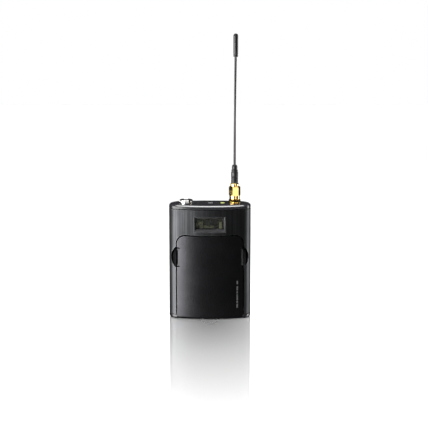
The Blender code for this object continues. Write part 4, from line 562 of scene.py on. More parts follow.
FRAME_HALF, FRAME_LOW, FRAME_HIGH = 12.35 * MM, 69.5 * MM, 81.8 * MM
RIM, BEVEL_TOP, BEVEL_FLOOR = 0.35 * MM, -11.58 * MM, -10.08 * MM
GLASS_HALF, GLASS_LOW, GLASS_HIGH = 11.0 * MM, 71.8 * MM, 80.6 * MM
frame_black = coating("frame_anodised", (0.05, 0.05, 0.053), 0.27, 0.85, grain=4200, depth=0.000006,
                      cloud=120, rub=0.5, rub_colour=(0.3, 0.3, 0.3))
surround = lens("display_frame", 0, FRAME_LOW, FRAME_HIGH)
carve(surround, lens("frame_back", 3.0 * MM, FRAME_LOW - PAST, FRAME_HIGH + PAST))
carve(surround, box("frame_reach", (-FRAME_HALF, FRONT_FACE - PAST, FRAME_LOW - PAST),
                    (FRAME_HALF, 0, FRAME_HIGH + PAST)), operation="INTERSECT")
slope = box("frame_slope", (-FRAME_HALF + RIM, BEVEL_TOP - 0.02 * MM, FRAME_LOW + RIM),
            (FRAME_HALF - RIM, BEVEL_FLOOR, FRAME_HIGH - RIM))
pick(slope, "FACE", lambda middle, way: way.y > 0.9)
middle = (FRAME_LOW + FRAME_HIGH) / 2
bpy.ops.transform.resize(
    value=(GLASS_HALF / (FRAME_HALF - RIM), 1, (GLASS_HIGH - GLASS_LOW) / (FRAME_HIGH - FRAME_LOW - 2 * RIM)),
    center_override=(0, BEVEL_FLOOR, middle))
bpy.ops.transform.translate(value=(0, 0, (GLASS_LOW + GLASS_HIGH) / 2 - middle))
carve(
    surround, slope,
    box("frame_front", (-FRAME_HALF + RIM, FRONT_FACE - PAST, FRAME_LOW + RIM),
        (FRAME_HALF - RIM, BEVEL_TOP, FRAME_HIGH - RIM)),
    box("frame_window", (-GLASS_HALF, BEVEL_TOP, GLASS_LOW), (GLASS_HALF, 0, GLASS_HIGH)),
)
soften(surround, 0.1 * MM, angle=25)
place_on(surround, frame_black, "housing", "bezel_metal", "display_bezel")


# Display glass: a flat tinted pane with ground edges, glued in at the foot of the frame's bevel. Faint
# smears change its polish a little from place to place.

tint = bpy.data.materials.new("smoked_glass")
tint.use_nodes = True
tint_shader = tint.node_tree.nodes["Principled BSDF"]
tint_shader.inputs["Base Color"].default_value = (0.5, 0.52, 0.47, 1)
tint_shader.inputs["Transmission Weight"].default_value = 1.0
tint_shader.inputs["IOR"].default_value = 1.46
smears = tint.node_tree.nodes.new("ShaderNodeTexNoise")
smears.inputs["Scale"].default_value = 260
smear_place = tint.node_tree.nodes.new("ShaderNodeTexCoord")
smear_range = tint.node_tree.nodes.new("ShaderNodeMapRange")
smear_range.inputs["To Min"].default_value = 0.0
smear_range.inputs["To Max"].default_value = 0.015
tint.node_tree.links.new(smear_place.outputs["Object"], smears.inputs["Vector"])
tint.node_tree.links.new(smears.outputs["Fac"], smear_range.inputs["Value"])
tint.node_tree.links.new(smear_range.outputs["Result"], tint_shader.inputs["Roughness"])
pane = box("window_pane", (-GLASS_HALF + 0.05 * MM, BEVEL_FLOOR, GLASS_LOW + 0.05 * MM),
           (GLASS_HALF - 0.05 * MM, BEVEL_FLOOR + 1.0 * MM, GLASS_HIGH - 0.05 * MM))
soften(pane, 0.15 * MM)
place_on(pane, tint, "housing", "window_glass", "display_glass")


# Display module: a dark olive panel in a thin black frame, which shows two small channel numbers, two
# fields and a level bar. The marks are plain numerals and bars.

PANEL_FRONT = -8.24 * MM
panel_olive = coating("readout_panel", (0.004, 0.0045, 0.0025), 0.5, grain=9000, depth=0.000003, cloud=200)
panel = box("readout_module", (-12 * MM, PANEL_FRONT, 70.8 * MM), (12 * MM, -5.74 * MM, 81.6 * MM))
pick(panel, "FACE", lambda middle, way: way.y < -0.9)
bpy.ops.mesh.inset(thickness=1.1 * MM)
bpy.ops.transform.translate(value=(0, 0.15 * MM, 0))
soften(panel, 0.1 * MM)
place_on(panel, panel_olive, "housing", "readout", "display_module")

lit = coating("readout_lit", (0.1, 0.105, 0.07), 0.5, grain=6000, depth=0.000002, cloud=400)
lit_shader = lit.node_tree.nodes["Principled BSDF"]
lit_shader.inputs["Emission Color"].default_value = (0.36, 0.38, 0.22, 1)
lit_shader.inputs["Emission Strength"].default_value = 0.42
STROKE, MARK_BACK = 0.32 * MM, PANEL_FRONT + 0.15 * MM
STROKES = {"0": "abcdef", "1": "bc", "2": "abged", "3": "abgcd", "4": "fgbc", "5": "afgcd", "8": "abcdefg"}
marks = box("readout_marks", (7.2 * MM, MARK_BACK - 0.1 * MM, 72.2 * MM), (9.2 * MM, MARK_BACK, 77.5 * MM))


def bar(left, right, low, high):
    """Adds one flat bar to the marks."""
    bpy.ops.mesh.primitive_cube_add(
        size=1, location=((left + right) / 2, MARK_BACK - 0.05 * MM, (low + high) / 2),
        scale=(right - left, 0.1 * MM, high - low))


def numeral(figure, left, low, wide, tall):
    """Adds one numeral made of up to seven bars."""
    right, high, centre = left + wide, low + tall, low + tall / 2
    half = STROKE / 2
    places = {
        "a": (left, right, high - STROKE, high), "g": (left, right, centre - half, centre + half),
        "d": (left, right, low, low + STROKE), "f": (left, left + STROKE, centre, high),
        "e": (left, left + STROKE, low, centre), "b": (right - STROKE, right, centre, high),
        "c": (right - STROKE, right, low, centre),
    }
    for stroke in STROKES[figure]:
        bar(*places[stroke])


for figures, low in (("28", 75.4 * MM), ("15", 72.6 * MM)):
    for step, figure in enumerate(figures):
        numeral(figure, (-9.2 + 2.0 * step) * MM, low, 1.6 * MM, 2.2 * MM)
for left in (-4.0, 0.0):
    for step in range(2):
        numeral("04"[step], (left + 1.6 * step) * MM, 72.6 * MM, 1.25 * MM, 2.0 * MM)
bpy.ops.mesh.select_all(action="SELECT")
bpy.ops.mesh.remove_doubles(threshold=1e-7)
shade(marks)
place_on(marks, lit, "housing", "readout")


# Battery cover: a die-cast lid that swings down on two barrels at its foot. Its face is smoother than
# the sleeve, its top corners are rounded, and its edges are chamfered beside the finger scoops.

COVER_FOOT, COVER_WALL, FOOT_WALL = 0.5 * MM, 1.5 * MM, 1.0 * MM
COVER_BACK, LATCH_BACK, NOTCH, NOTCH_AWAY = -3.125 * MM, -3.69 * MM, 1.5 * MM, 7.2 * MM
CHAMFER, CHAMFER_Y, CHAMFER_REACH, CHAMFER_TURN = 0.42 * MM, -8.05 * MM, 6.2 * MM, math.radians(38)
cover_black = coating("cover_anodised", (0.034, 0.034, 0.037), 0.3, 0.85, grain=5000, depth=0.000005,
                      stretch=(1, 1, 0.05), cloud=60, rub=0.35, rub_colour=(0.3, 0.3, 0.31), spread=0.05)
cover = lens("battery_lid", 0, COVER_FOOT, COVER_TOP + COVER_DIP)
round_rim(cover, COVER_FOOT, BASE_ROUND, 6)
carve(cover, lens("lid_inside", COVER_WALL, COVER_FOOT + FOOT_WALL, SLEEVE_HIGH),
      box("behind_foot", (-BODY_HALF, -6.6 * MM, -PAST),
          (BODY_HALF, -FRONT_FACE, COVER_FOOT + FOOT_WALL + MM)))
carve(cover, cover_shape("lid_outline", 0, -PAST, FRONT_FACE - PAST, COVER_BACK), operation="INTERSECT")
for side in (-1, 1):
    edge = box("chamfer", (COVER_HALF - CHAMFER, -12 * MM, SCOOP_Z - CHAMFER_REACH),
               (COVER_HALF + 2 * MM, CHAMFER_Y, SCOOP_Z + CHAMFER_REACH))
    bpy.ops.mesh.select_all(action="SELECT")
    bpy.ops.transform.rotate(value=CHAMFER_TURN, orient_axis="Z",
                             center_override=(COVER_HALF - CHAMFER, CHAMFER_Y, SCOOP_Z))
    if side < 0:
        bpy.ops.transform.mirror(constraint_axis=(True, False, False), center_override=(0, 0, 0))
        bpy.ops.mesh.normals_make_consistent(inside=False)
    carve(cover, edge)
    for end in (-1, 1):
        middle = SCOOP_Z + end * NOTCH_AWAY
        left, right = span(side, COVER_HALF - NOTCH, COVER_HALF + PAST)
        carve(cover, box("lid_notch", (left, FRONT_FACE - PAST, middle - NOTCH / 2),
                         (right, COVER_BACK + PAST, middle + NOTCH / 2)))
        left, right = span(side, 20.3 * MM, 24.5 * MM)
        carve(cover, box("latch_guide", (left, -9.2 * MM, middle - 0.45 * MM),
                         (right, LATCH_BACK, middle + 0.45 * MM)), operation="UNION")
    left, right = span(side, 17.9 * MM, 18.8 * MM)
    carve(cover, box("spring_stop", (left, -9.75 * MM, SCOOP_Z - 2 * MM),
                     (right, LATCH_BACK - 0.1 * MM, SCOOP_Z + 2 * MM)), operation="UNION")
    near, far = span(side, 6 * MM, 9 * MM)
    carve(cover, box("barrel_arm", (near + 0.1 * MM, -11.5 * MM, HINGE_Z - 1.2 * MM),
                     (far - 0.1 * MM, HINGE_Y, HINGE_Z + 1.2 * MM)),
          rod("lid_barrel", BARREL, (near, HINGE_Y, HINGE_Z), (far, HINGE_Y, HINGE_Z)), operation="UNION")
    near, far = span(side, 9.15 * MM, 12.45 * MM)
    carve(cover, rod("barrel_room", BARREL + 0.3 * MM, (near, HINGE_Y, HINGE_Z), (far, HINGE_Y, HINGE_Z)),
          box("arm_room", (near, HINGE_Y - 0.3 * MM, -PAST), (far, -FRONT_FACE, HINGE_Z)))
carve(cover, rod("lid_bore", HINGE_BORE, (-9.15 * MM, HINGE_Y, HINGE_Z), (9.15 * MM, HINGE_Y, HINGE_Z)))
soften(cover, 0.18 * MM, angle=30)
place_on(cover, cover_black, "cover", "cover_metal", "battery_cover")


# Cover marks: a short column of plain dashes at the lower right of the cover, printed in dim grey in a
# thin layer that follows the cover's curve.

print_grey = coating("print_grey", (0.14, 0.14, 0.14), 0.5, grain=6000, depth=0.000003, cloud=900, drift=0.3)
dashes = lens("cover_marks", -0.02 * MM, 8 * MM, 34 * MM)
carve(dashes, lens("marks_back", 0.06 * MM, 5 * MM, 40 * MM))
column, *others = (
    box("dash", (20.9 * MM, FRONT_FACE, low * MM), (22.1 * MM, -8 * MM, (low + tall) * MM))
    for low, tall in ((9, 3.2), (13, 1.6), (15.4, 4.4), (20.6, 1.6), (23, 3.2), (28, 2.6)))
carve(column, *others, operation="UNION")
carve(dashes, column, operation="INTERSECT")
shade(dashes)
place_on(dashes, print_grey, "cover", "cover_metal")


# Hinge pin: a bright steel pin with rounded ends, pressed into the bottom cap's barrels. The cover's
# own barrels turn on it.

bright_steel = coating("bright_steel", (0.62, 0.62, 0.61), 0.24, 1.0, grain=6000, depth=0.000003,
                       stretch=(0.05, 1, 1), cloud=300, drift=0.08)
pin = turned("hinge_pin", [(0.5 * MM, -12.3 * MM), (0.7 * MM, -12.1 * MM), (0.7 * MM, 12.1 * MM),
                           (0.5 * MM, 12.3 * MM)], (0, HINGE_Y, HINGE_Z), (1, 0, 0), 32)
shade(pin)
place_on(pin, bright_steel, "housing", "spring_steel", "cover_hinge_pin")


# Cover pad: a strip of charcoal foam glued across the inside of the cover. It bears on the cells and
# keeps them from rattling.

foam = coating("pad_foam", (0.045, 0.045, 0.045), 0.92, grain=1500, depth=0.00009, cloud=500, drift=0.35)
pad = lens("pad_strip", 1.62 * MM, 24.3 * MM, SCOOP_Z)
carve(pad, lens("pad_back", 3.27 * MM, 20 * MM, 55 * MM))
carve(pad, box("pad_reach", (-11.5 * MM, FRONT_FACE, 20 * MM), (11.5 * MM, 0, 55 * MM)),
      operation="INTERSECT")
soften(pad, 0.45 * MM, segments=4)
place_on(pad, foam, "cover", "foam", "cover_pad")


# Finger scoops: glossy black cups behind the sleeve's round openings, each moulded in one piece with a
# flat floor. A fingertip goes into them to press the latches.


def dressed(node, name, width):
    """A piece with exactly a solid's shape, its corners merged and its sharp edges broken."""
    ready()
    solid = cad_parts[node]
    mesh = solid.data.copy()
    mesh.transform(solid.matrix_world)
    piece = bpy.data.objects.new(name, mesh)
    bpy.context.scene.collection.objects.link(piece)
    piece.select_set(True)
    bpy.context.view_layer.objects.active = piece
    bpy.ops.object.mode_set(mode="EDIT")
    bpy.ops.mesh.select_all(action="SELECT")
    bpy.ops.mesh.remove_doubles(threshold=1e-6)
    bpy.ops.mesh.dissolve_limited(angle_limit=math.radians(1))
    return soften(piece, width) if width else shade(piece, 50)


scoop_gloss = coating("scoop_gloss", (0.012, 0.012, 0.013), 0.1, grain=4000, depth=0.000002, cloud=150,
                      rub=0.4, rub_colour=(0.1, 0.1, 0.1), spread=0.03)
for side, word in ((-1, "left"), (1, "right")):
    scoop = dressed("scoop_" + word, "finger_cup_" + word, 0.25 * MM)
    place_on(scoop, scoop_gloss, "housing", "scoop_plastic", "scoop_" + word)


# Latches: black acetal sliders in the cover's sides, ribbed at the end that the finger presses and
# hollowed for a spring at the other. They run between guides on the cover's back.

latch_black = coating("latch_acetal", (0.022, 0.022, 0.023), 0.38, grain=3600, depth=0.000012, cloud=200,
                      rub=0.6, rub_colour=(0.12, 0.12, 0.12))
for side, word in ((-1, "left"), (1, "right")):
    near, far = span(side, 21.5 * MM, 25.5 * MM)
    latch = box("press_button_" + word, (near, -6.29 * MM, SCOOP_Z - 6.6 * MM),
                (far, LATCH_BACK, SCOOP_Z + 6.6 * MM))
    pick(latch, "EDGE", lambda middle, way: side * middle.x > 24 * MM and abs(way.z) > 0.9)
    bpy.ops.mesh.bevel(offset=0.35 * MM, segments=3, affect="EDGES")
    for step in range(-4, 5):
        low = SCOOP_Z + (1.25 * step - 0.3) * MM
        near, far = span(side, 25.1 * MM, 26 * MM)
        carve(latch, box("grip_groove", (near, -8 * MM, low), (far, -2 * MM, low + 0.6 * MM)))
    near, far = span(side, 21 * MM, 22.1 * MM)
    carve(latch, rod("spring_seat", 0.95 * MM, (near, -4.99 * MM, SCOOP_Z), (far, -4.99 * MM, SCOOP_Z), 24))
    soften(latch, 0.1 * MM)
    place_on(latch, latch_black, "latch_" + word, "latch_plastic", "latch_" + word)


# Latch springs: small coils of steel wire, one between each latch and its stop on the cover. A pressed
# latch squeezes its spring against the stop.

wire_steel = coating("spring_wire", (0.55, 0.55, 0.54), 0.28, 1.0, grain=7000, depth=0.000003, cloud=600)
for side, word in ((-1, "left"), (1, "right")):
    spring = dressed("latch_spring_" + word, "return_spring_" + word, 0)
    modify(spring, "SUBSURF", levels=1)
    shade(spring, 60)
    place_on(spring, wire_steel, "cover", "spring_steel", "latch_spring_" + word)
    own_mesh(spring)


# Battery tray: a black moulded box open to the front, with shelves for the keys and their switches and
# two bosses for the base screws.

tray_black = coating("tray_abs", (0.024, 0.024, 0.026), 0.45, grain=2200, depth=0.00002, cloud=120,
                     rub=0.5, rub_colour=(0.1, 0.1, 0.1))
tray = dressed("battery_tray", "cell_tray", 0.15 * MM)
place_on(tray, tray_black, "housing", "tray_plastic", "battery_tray")


# Cells: two cylindrical alkaline cells, which stand head to tail in the tray. Each is a steel can in a
# plain wrap, copper above and black below, with bright ends.

CELL_Y, WRAP_SPLIT, BARE_END = -1.3 * MM, 46 * MM, 6.75 * MM


def in_metres(profile):
    """A turned profile that is written in millimetres."""
    return [(wide * MM, high * MM) for wide, high in profile]


wrap = coating("cell_wrap", (0.32, 0.15, 0.05), 0.27, 0.7, grain=3500, depth=0.000004, cloud=90, drift=0.12)
wrap_tree = wrap.node_tree
wrap_shader = wrap_tree.nodes["Principled BSDF"]
wrap_shade = wrap_shader.inputs["Base Color"].links[0].from_socket
wrap_place = wrap_tree.nodes.new("ShaderNodeTexCoord")
wrap_split = wrap_tree.nodes.new("ShaderNodeSeparateXYZ")
wrap_tree.links.new(wrap_place.outputs["Object"], wrap_split.inputs["Vector"])
wrap_band = wrap_tree.nodes.new("ShaderNodeMath")
wrap_band.operation = "GREATER_THAN"
wrap_band.inputs[1].default_value = WRAP_SPLIT
wrap_mix = wrap_tree.nodes.new("ShaderNodeMix")
wrap_mix.data_type = "RGBA"
wrap_sockets = {s.name: s for s in wrap_mix.inputs if s.type == "RGBA"}
wrap_sockets["A"].default_value = (0.015, 0.015, 0.016, 1)
wrap_tree.links.new(wrap_split.outputs["Z"], wrap_band.inputs[0])
wrap_tree.links.new(wrap_band.outputs["Value"], wrap_mix.inputs["Factor"])
wrap_tree.links.new(wrap_shade, wrap_sockets["B"])
wrap_tree.links.new(next(s for s in wrap_mix.outputs if s.type == "RGBA"), wrap_shader.inputs["Base Color"])
profile = [
    (5.6, 0), (5.6, 0.12), (6.3, 0.12), (6.5, 0), (6.95, 0), (7.2, 0.25), (7.2, 49.0), (7.0, 49.35),
    (6.3, 49.4), (6.1, 49.15), (3.1, 49.2), (2.9, 49.4), (2.75, 49.5), (2.75, 50.2), (2.55, 50.4),
]
for name, x, low, way in (("battery_1", -7.9, 13.6, 1), ("battery_2", 7.9, 60.4, -1)):
    cell = turned(name + "_cell", in_metres(profile), (x * MM, CELL_Y, low * MM), (0, 0, way), 72)
    shade(cell)
    place_on(cell, wrap, "housing", "cell_wrap", name)
    cell.data.materials.append(bright_steel)
    for face in cell.data.polygons:
        across = (face.center.xy - Vector((x * MM, CELL_Y))).length
        face.material_index = int(across < BARE_END)


# Contacts: nickel-plated spring steel, two flat tabs and a bridge, with a cone-shaped spring under one
# cell and over the other.

nickel = coating("nickel_plate", (0.66, 0.63, 0.56), 0.26, 1.0, grain=5000, depth=0.000004, cloud=260)
for node in ("contact_bridge", "contact_positive", "contact_negative"):
    contact = dressed(node, node.replace("contact", "plate"), 0.08 * MM)
    place_on(contact, nickel, "housing", "spring_steel", node)
for node in ("contact_spring_bottom", "contact_spring_top"):
    contact = dressed(node, node.replace("contact", "cone"), 0)
    modify(contact, "SUBSURF", levels=1)
    shade(contact, 60)
    place_on(contact, wire_steel, "housing", "spring_steel", node)


# Keys: soft black rubber buttons on the tray's shelves, dished for the fingertip, each over a small
# switch. The switches and the mute slider's switch have grey moulded bodies.

key_soft = coating("key_rubber", (0.03, 0.03, 0.031), 0.62, grain=3000, depth=0.000018, cloud=220)
switch_grey = coating("switch_body", (0.3, 0.3, 0.3), 0.42, grain=2600, depth=0.00001, cloud=220)
for side, word in ((-1, "menu"), (1, "enter")):
    key = dressed(word + "_button", word + "_key", 0.12 * MM)
    carve(key, turned("key_dish", [(0.2 * MM, 0.25 * MM), (1.1 * MM, 0.1 * MM), (1.5 * MM, -0.1 * MM),
                                   (1.5 * MM, -1 * MM)],
                      (side * 19.4 * MM, -7.4 * MM, 61.6 * MM), (0, 1, 0), 32))
    shade(key)
    place_on(key, key_soft, word + "_button", "key_rubber", word + "_button")
    switch = dressed(word + "_switch", word + "_contact", 0.2 * MM)
    place_on(switch, switch_grey, "housing", "switch_grey", word + "_switch")
slide_body = dressed("mute_switch", "slide_switch_body", 0.15 * MM)
place_on(slide_body, switch_grey, "housing", "switch_grey", "mute_switch")


# Circuit board and its shield: a board of green glass laminate, and the can of tinned steel that is
# soldered over its radio circuit.

laminate = coating("board_laminate", (0.012, 0.1, 0.045), 0.36, grain=1300, depth=0.00001, cloud=300,
                   drift=0.4, streak=0.3)
board = dressed("main_board", "circuit_board", 0.08 * MM)
place_on(board, laminate, "housing", "board", "main_board")
tinned = coating("shield_tinplate", (0.6, 0.6, 0.58), 0.33, 1.0, grain=1800, depth=0.000008, cloud=240)
shield = dressed("rf_shield", "radio_shield", 0.2 * MM)
place_on(shield, tinned, "housing", "shield_tin", "rf_shield")


# Input connector: a nickel-plated brass shell with a flange, a fine knurl and a chamfered rim, and a
# small locking lug at its right. A hexagon nut holds it under the panel.

polished_nickel = coating("polished_nickel", (0.8, 0.8, 0.79), 0.13, 1.0, grain=6000, depth=0.000002,
                          cloud=320, drift=0.06, rub=0.2, rub_colour=(0.9, 0.9, 0.88), spread=0.04)
KNURLS = 72
profile = [
    (4.1, 81.1), (4.6, 81.1), (4.6, 91.15), (5.15, 91.15), (5.15, 91.65), (5.0, 91.75), (4.8, 91.8),
    (4.8, 91.9), (4.98, 92.0), (4.98, 92.95), (4.8, 93.0), (4.8, 93.1), (5.15, 93.15), (5.15, 93.4),
    (4.85, 93.7), (4.35, 93.7), (4.1, 93.45), (4.1, 81.1),
]
shell = turned("connector_ring", in_metres(profile), (CONNECTOR_X, 0, 0), sides=KNURLS)
bpy.ops.object.mode_set(mode="EDIT")
pick(shell, "FACE", lambda middle, way: 92 * MM < middle.z < 92.95 * MM and Vector(
    (middle.x - CONNECTOR_X, middle.y)).length > 4.9 * MM
    and round(math.atan2(middle.y, middle.x - CONNECTOR_X) / math.tau * KNURLS - 0.5) % 2 == 0)
bpy.ops.mesh.inset(thickness=0.05 * MM, depth=0.14 * MM, use_individual=True)
carve(shell, box("locking_lug", (CONNECTOR_X + 4.5 * MM, -0.7 * MM, 91.2 * MM),
                 (CONNECTOR_X + 5.75 * MM, 0.7 * MM, 92.5 * MM)), operation="UNION")
shade(shell, 25)
place_on(shell, polished_nickel, "housing", "silver", "connector_shell")
nut = dressed("connector_nut", "shell_nut", 0.15 * MM)
place_on(nut, polished_nickel, "housing", "silver", "connector_nut")


# Connector insert: a black moulded disc deep in the shell. Four contact pins with round tips, turned
# from brass and plated with gold, stand in it.

insert_black = coating("insert_plastic", (0.016, 0.016, 0.016), 0.35, grain=4200, depth=0.000008, cloud=300)
insert = dressed("connector_insert", "pin_insert", 0.12 * MM)
place_on(insert, insert_black, "housing", "black_insert", "connector_insert")
gold = coating("gold_plate", (0.83, 0.6, 0.22), 0.12, 1.0, grain=5200, depth=0.000003, cloud=280, drift=0.08,
               rub=0.2, rub_colour=(0.95, 0.8, 0.5), spread=0.04)
PINS, PIN_CIRCLE = 4, 1.9 * MM
profile = [(0.45, 81.4), (0.45, 86.6), (0.4, 86.8), (0.28, 86.94), (0.12, 87.0)]
for number in range(1, PINS + 1):
    turn = math.tau * (number - 0.5) / PINS
    centre = (CONNECTOR_X + PIN_CIRCLE * math.cos(turn), PIN_CIRCLE * math.sin(turn), 0)
    contact = turned(f"contact_pin_{number}", in_metres(profile), centre, sides=24)
    shade(contact)
    place_on(contact, gold, "housing", "gold", f"connector_pin_{number}")


# Sync window: a small smoke-coloured pane with round corners, glued in beside the connector. Its face
# lies just under the panel's.

smoke = coating("sync_smoke", (0.11, 0.1, 0.11), 0.15, grain=5000, depth=0.000003, cloud=400, spread=0.04)
sync = box("sync_pane", (-10.15 * MM, -1.7 * MM, 89.0 * MM), (-7.85 * MM, 1.7 * MM, 91.0 * MM))
pick(sync, "EDGE", lambda middle, way: abs(way.z) > 0.9)
bpy.ops.mesh.bevel(offset=0.4 * MM, segments=4, affect="EDGES")
soften(sync, 0.08 * MM)
place_on(sync, smoke, "housing", "sync_smoke", "sync_window")


# Mute slider: a pale grey moulded knob with three grip grooves across it. Its wide foot slides under
# the panel and keeps it in.

slider_grey = coating("slider_grey", (0.42, 0.42, 0.43), 0.4, grain=4000, depth=0.00001, cloud=300,
                      rub=0.4, rub_colour=(0.6, 0.6, 0.6))
knob = box("slide_knob", (-1.1 * MM, -1.0 * MM, 88.6 * MM), (2.1 * MM, 1.0 * MM, 91.6 * MM))
carve(knob, box("slide_foot", (-1.7 * MM, -1.9 * MM, 88.4 * MM), (2.7 * MM, 1.9 * MM, 89.0 * MM)),
      operation="UNION")
for step in (-1, 0, 1):
    middle = (0.5 + 0.9 * step) * MM
    carve(knob, box("knob_groove", (middle - 0.2 * MM, -PAST, 91.25 * MM),
                    (middle + 0.2 * MM, PAST, 92 * MM)))
soften(knob, 0.09 * MM)
place_on(knob, slider_grey, "mute_slider", "switch_grey", "mute_slider")


# Status lamp: a yellow-green lens of cloudy plastic with a low dome. A collar under the panel holds it,
# and it glows dimly.

lamp_lit = coating("lamp_lens", (0.66, 0.72, 0.26), 0.16, grain=4000, depth=0.000003, cloud=500, drift=0.08)
lamp_shader = lamp_lit.node_tree.nodes["Principled BSDF"]
lamp_shader.inputs["Subsurface Weight"].default_value = 0.4
lamp_shader.inputs["Subsurface Radius"].default_value = (0.0012, 0.0012, 0.0005)
lamp_shader.inputs["Emission Color"].default_value = (0.62, 0.7, 0.22, 1)
lamp_shader.inputs["Emission Strength"].default_value = 0.35
profile = [(2.3, 87.8), (2.3, 89.0), (1.7, 89.0), (1.7, 91.1), (1.62, 91.25), (1.4, 91.4), (1.0, 91.53),
           (0.5, 91.59), (0.2, 91.6)]
lamp = turned("lamp_dome", in_metres(profile), (LAMP_X, 0, 0), sides=48)
shade(lamp)
place_on(lamp, lamp_lit, "housing", "lamp", "status_led")


# Antenna socket: a gold-plated coaxial jack with a threaded barrel, a flat washer and a chamfered
# hexagon nut that clamps it to the panel.

ANTENNA_AXIS, HEX_FLATS, HEX_CHAMFER = (ANTENNA_X, 0, 0), 8.0 * MM, 0.35 * MM
THREAD_OUT, THREAD_IN, THREAD_LOW, THREAD_STEP, THREAD_RIDGES = 3.0, 2.82, 92.2, 0.4, 14


def hexed(name, low, high, turn):
    """A hexagon bar upright on the antenna's axis, its corners chamfered at both ends."""
    ready()
    corner = HEX_FLATS / math.sqrt(3)
    bpy.ops.mesh.primitive_cylinder_add(
        vertices=6, radius=corner, depth=high - low, location=(ANTENNA_X, 0, (low + high) / 2),
        rotation=(0, 0, math.pi / 6 + turn))
    piece = begin(name)
    flat = HEX_FLATS / 2
    limit = turned("corner_limit", [(flat, low), (corner, low + HEX_CHAMFER), (corner, high - HEX_CHAMFER),
                                    (flat, high)], ANTENNA_AXIS, sides=96)
    return carve(piece, limit, operation="INTERSECT")


thread = [(THREAD_OUT, 92.0)]
for ridge in range(THREAD_RIDGES):
    rise = THREAD_LOW + THREAD_STEP * ridge
    thread += [(THREAD_OUT, rise), (THREAD_IN, rise + 0.1), (THREAD_IN, rise + 0.2), (THREAD_OUT, rise + 0.3)]
profile = (
    [(0.5, 84.1), (3.0, 84.1), (3.0, 88.0), (4.5, 88.0), (4.5, 89.0), (3.0, 89.0)] + thread
    + [(3.0, 97.85), (2.85, 98.0), (2.4, 98.0), (2.3, 97.9), (2.3, 96.0), (0.5, 96.0), (0.5, 84.1)]
)
jack = turned("coax_jack", in_metres(profile), ANTENNA_AXIS)
shade(jack)
place_on(jack, gold, "housing", "gold", "sma_jack")
profile = [(3.05, 91.4), (4.8, 91.4), (4.95, 91.5), (4.95, 91.8), (4.8, 91.9), (3.05, 91.9), (3.05, 91.4)]
washer = turned("jack_washer", in_metres(profile), ANTENNA_AXIS, sides=96)
shade(washer)
place_on(washer, gold, "housing", "gold", "sma_washer")
panel_nut = hexed("jack_nut", 92.2 * MM, 94.2 * MM, 0)
carve(panel_nut, rod("nut_bore", 3.05 * MM, (ANTENNA_X, 0, 90 * MM), (ANTENNA_X, 0, 96 * MM)))
soften(panel_nut, 0.08 * MM, angle=25)
place_on(panel_nut, gold, "housing", "gold", "sma_nut")


# Coupling nut: a hexagon over a round skirt with a turned groove, in gold-plated brass. It turns freely
# on the plug and screws on to the socket.

coupling = hexed("plug_nut", 97.0 * MM, 104.2 * MM, math.radians(11))
profile = [(3.8, 94.5), (4.05, 94.7), (4.05, 95.6), (3.9, 95.75), (3.9, 95.95), (4.05, 96.1), (4.05, 97.3),
           (3.9, 97.5)]
skirt = turned("nut_skirt", in_metres(profile), ANTENNA_AXIS, sides=96)
carve(coupling, skirt, operation="UNION")
profile = [(3.3, 94.3), (3.1, 94.9), (3.1, 102.6), (2.4, 102.6), (2.4, 105)]
carve(coupling, turned("nut_inside", in_metres(profile), ANTENNA_AXIS))
soften(coupling, 0.08 * MM, angle=25)
place_on(coupling, gold, "coupling_nut", "gold", "coupling_nut")


# Plug: a gold-plated ferrule, with a collar that the nut pulls on and a neck that the boot is moulded
# on. Its centre pin goes into the socket.

profile = [
    (0.5, 101.5), (3.0, 101.5), (3.0, 102.3), (2.3, 102.3), (2.3, 104.5), (3.0, 104.5), (3.15, 104.65),
    (3.15, 105.2), (3.0, 105.3), (3.0, 105.5), (3.15, 105.6), (3.15, 106.5), (2.95, 106.7),
]
ferrule = turned("plug_ferrule", in_metres(profile), ANTENNA_AXIS, sides=96)
shade(ferrule)
place_on(ferrule, gold, "antenna", "gold", "antenna_ferrule")
profile = [(0.12, 94.0), (0.3, 94.1), (0.45, 94.4), (0.45, 104.2)]
plug_pin = turned("plug_pin", in_metres(profile), ANTENNA_AXIS, sides=24)
shade(plug_pin)
place_on(plug_pin, gold, "antenna", "gold", "antenna_pin")


# Boot: soft black rubber moulded over the plug and the whip's foot, with three grooves, a ring, a
# narrow neck and a bulb.

whip_rubber = coating("antenna_rubber", (0.017, 0.017, 0.018), 0.36, grain=2400, depth=0.00002, cloud=140,
                      rub=0.5, rub_colour=(0.07, 0.07, 0.07), spread=0.07)
profile = [(1.05, 111.0), (0.7, 111.0), (0.7, 107.0), (2.6, 107.0), (2.75, 107.15)]
for rib in range(3):
    rise = 108.15 + 1.3 * rib
    profile += [(2.75, rise), (2.66, rise + 0.08), (2.42, rise + 0.14), (2.4, rise + 0.4),
                (2.66, rise + 0.46), (2.75, rise + 0.54)]
profile += [
    (2.75, 115.5), (2.68, 115.72), (2.5, 115.88), (1.95, 115.95), (1.85, 116.05), (1.85, 116.35),
    (1.95, 116.42), (2.5, 116.5), (2.6, 116.6), (2.6, 117.3), (2.5, 117.4), (1.95, 117.46), (1.85, 117.6),
    (2.0, 117.8), (2.12, 118.2), (2.2, 118.9), (2.2, 119.5), (2.1, 120.1), (1.9, 120.7), (1.6, 121.15),
    (1.25, 121.4), (1.1, 121.4), (1.05, 121.3), (1.05, 111.0),
]
boot = turned("whip_boot", in_metres(profile), ANTENNA_AXIS, sides=56)
shade(boot, 50)
place_on(boot, whip_rubber, "antenna", "antenna_rubber", "antenna_boot")


# Whip: a sprung wire in a black rubber sheath, which is a little thinner in the middle. Its lower end
# is moulded into the boot, and it leans slightly to the right.

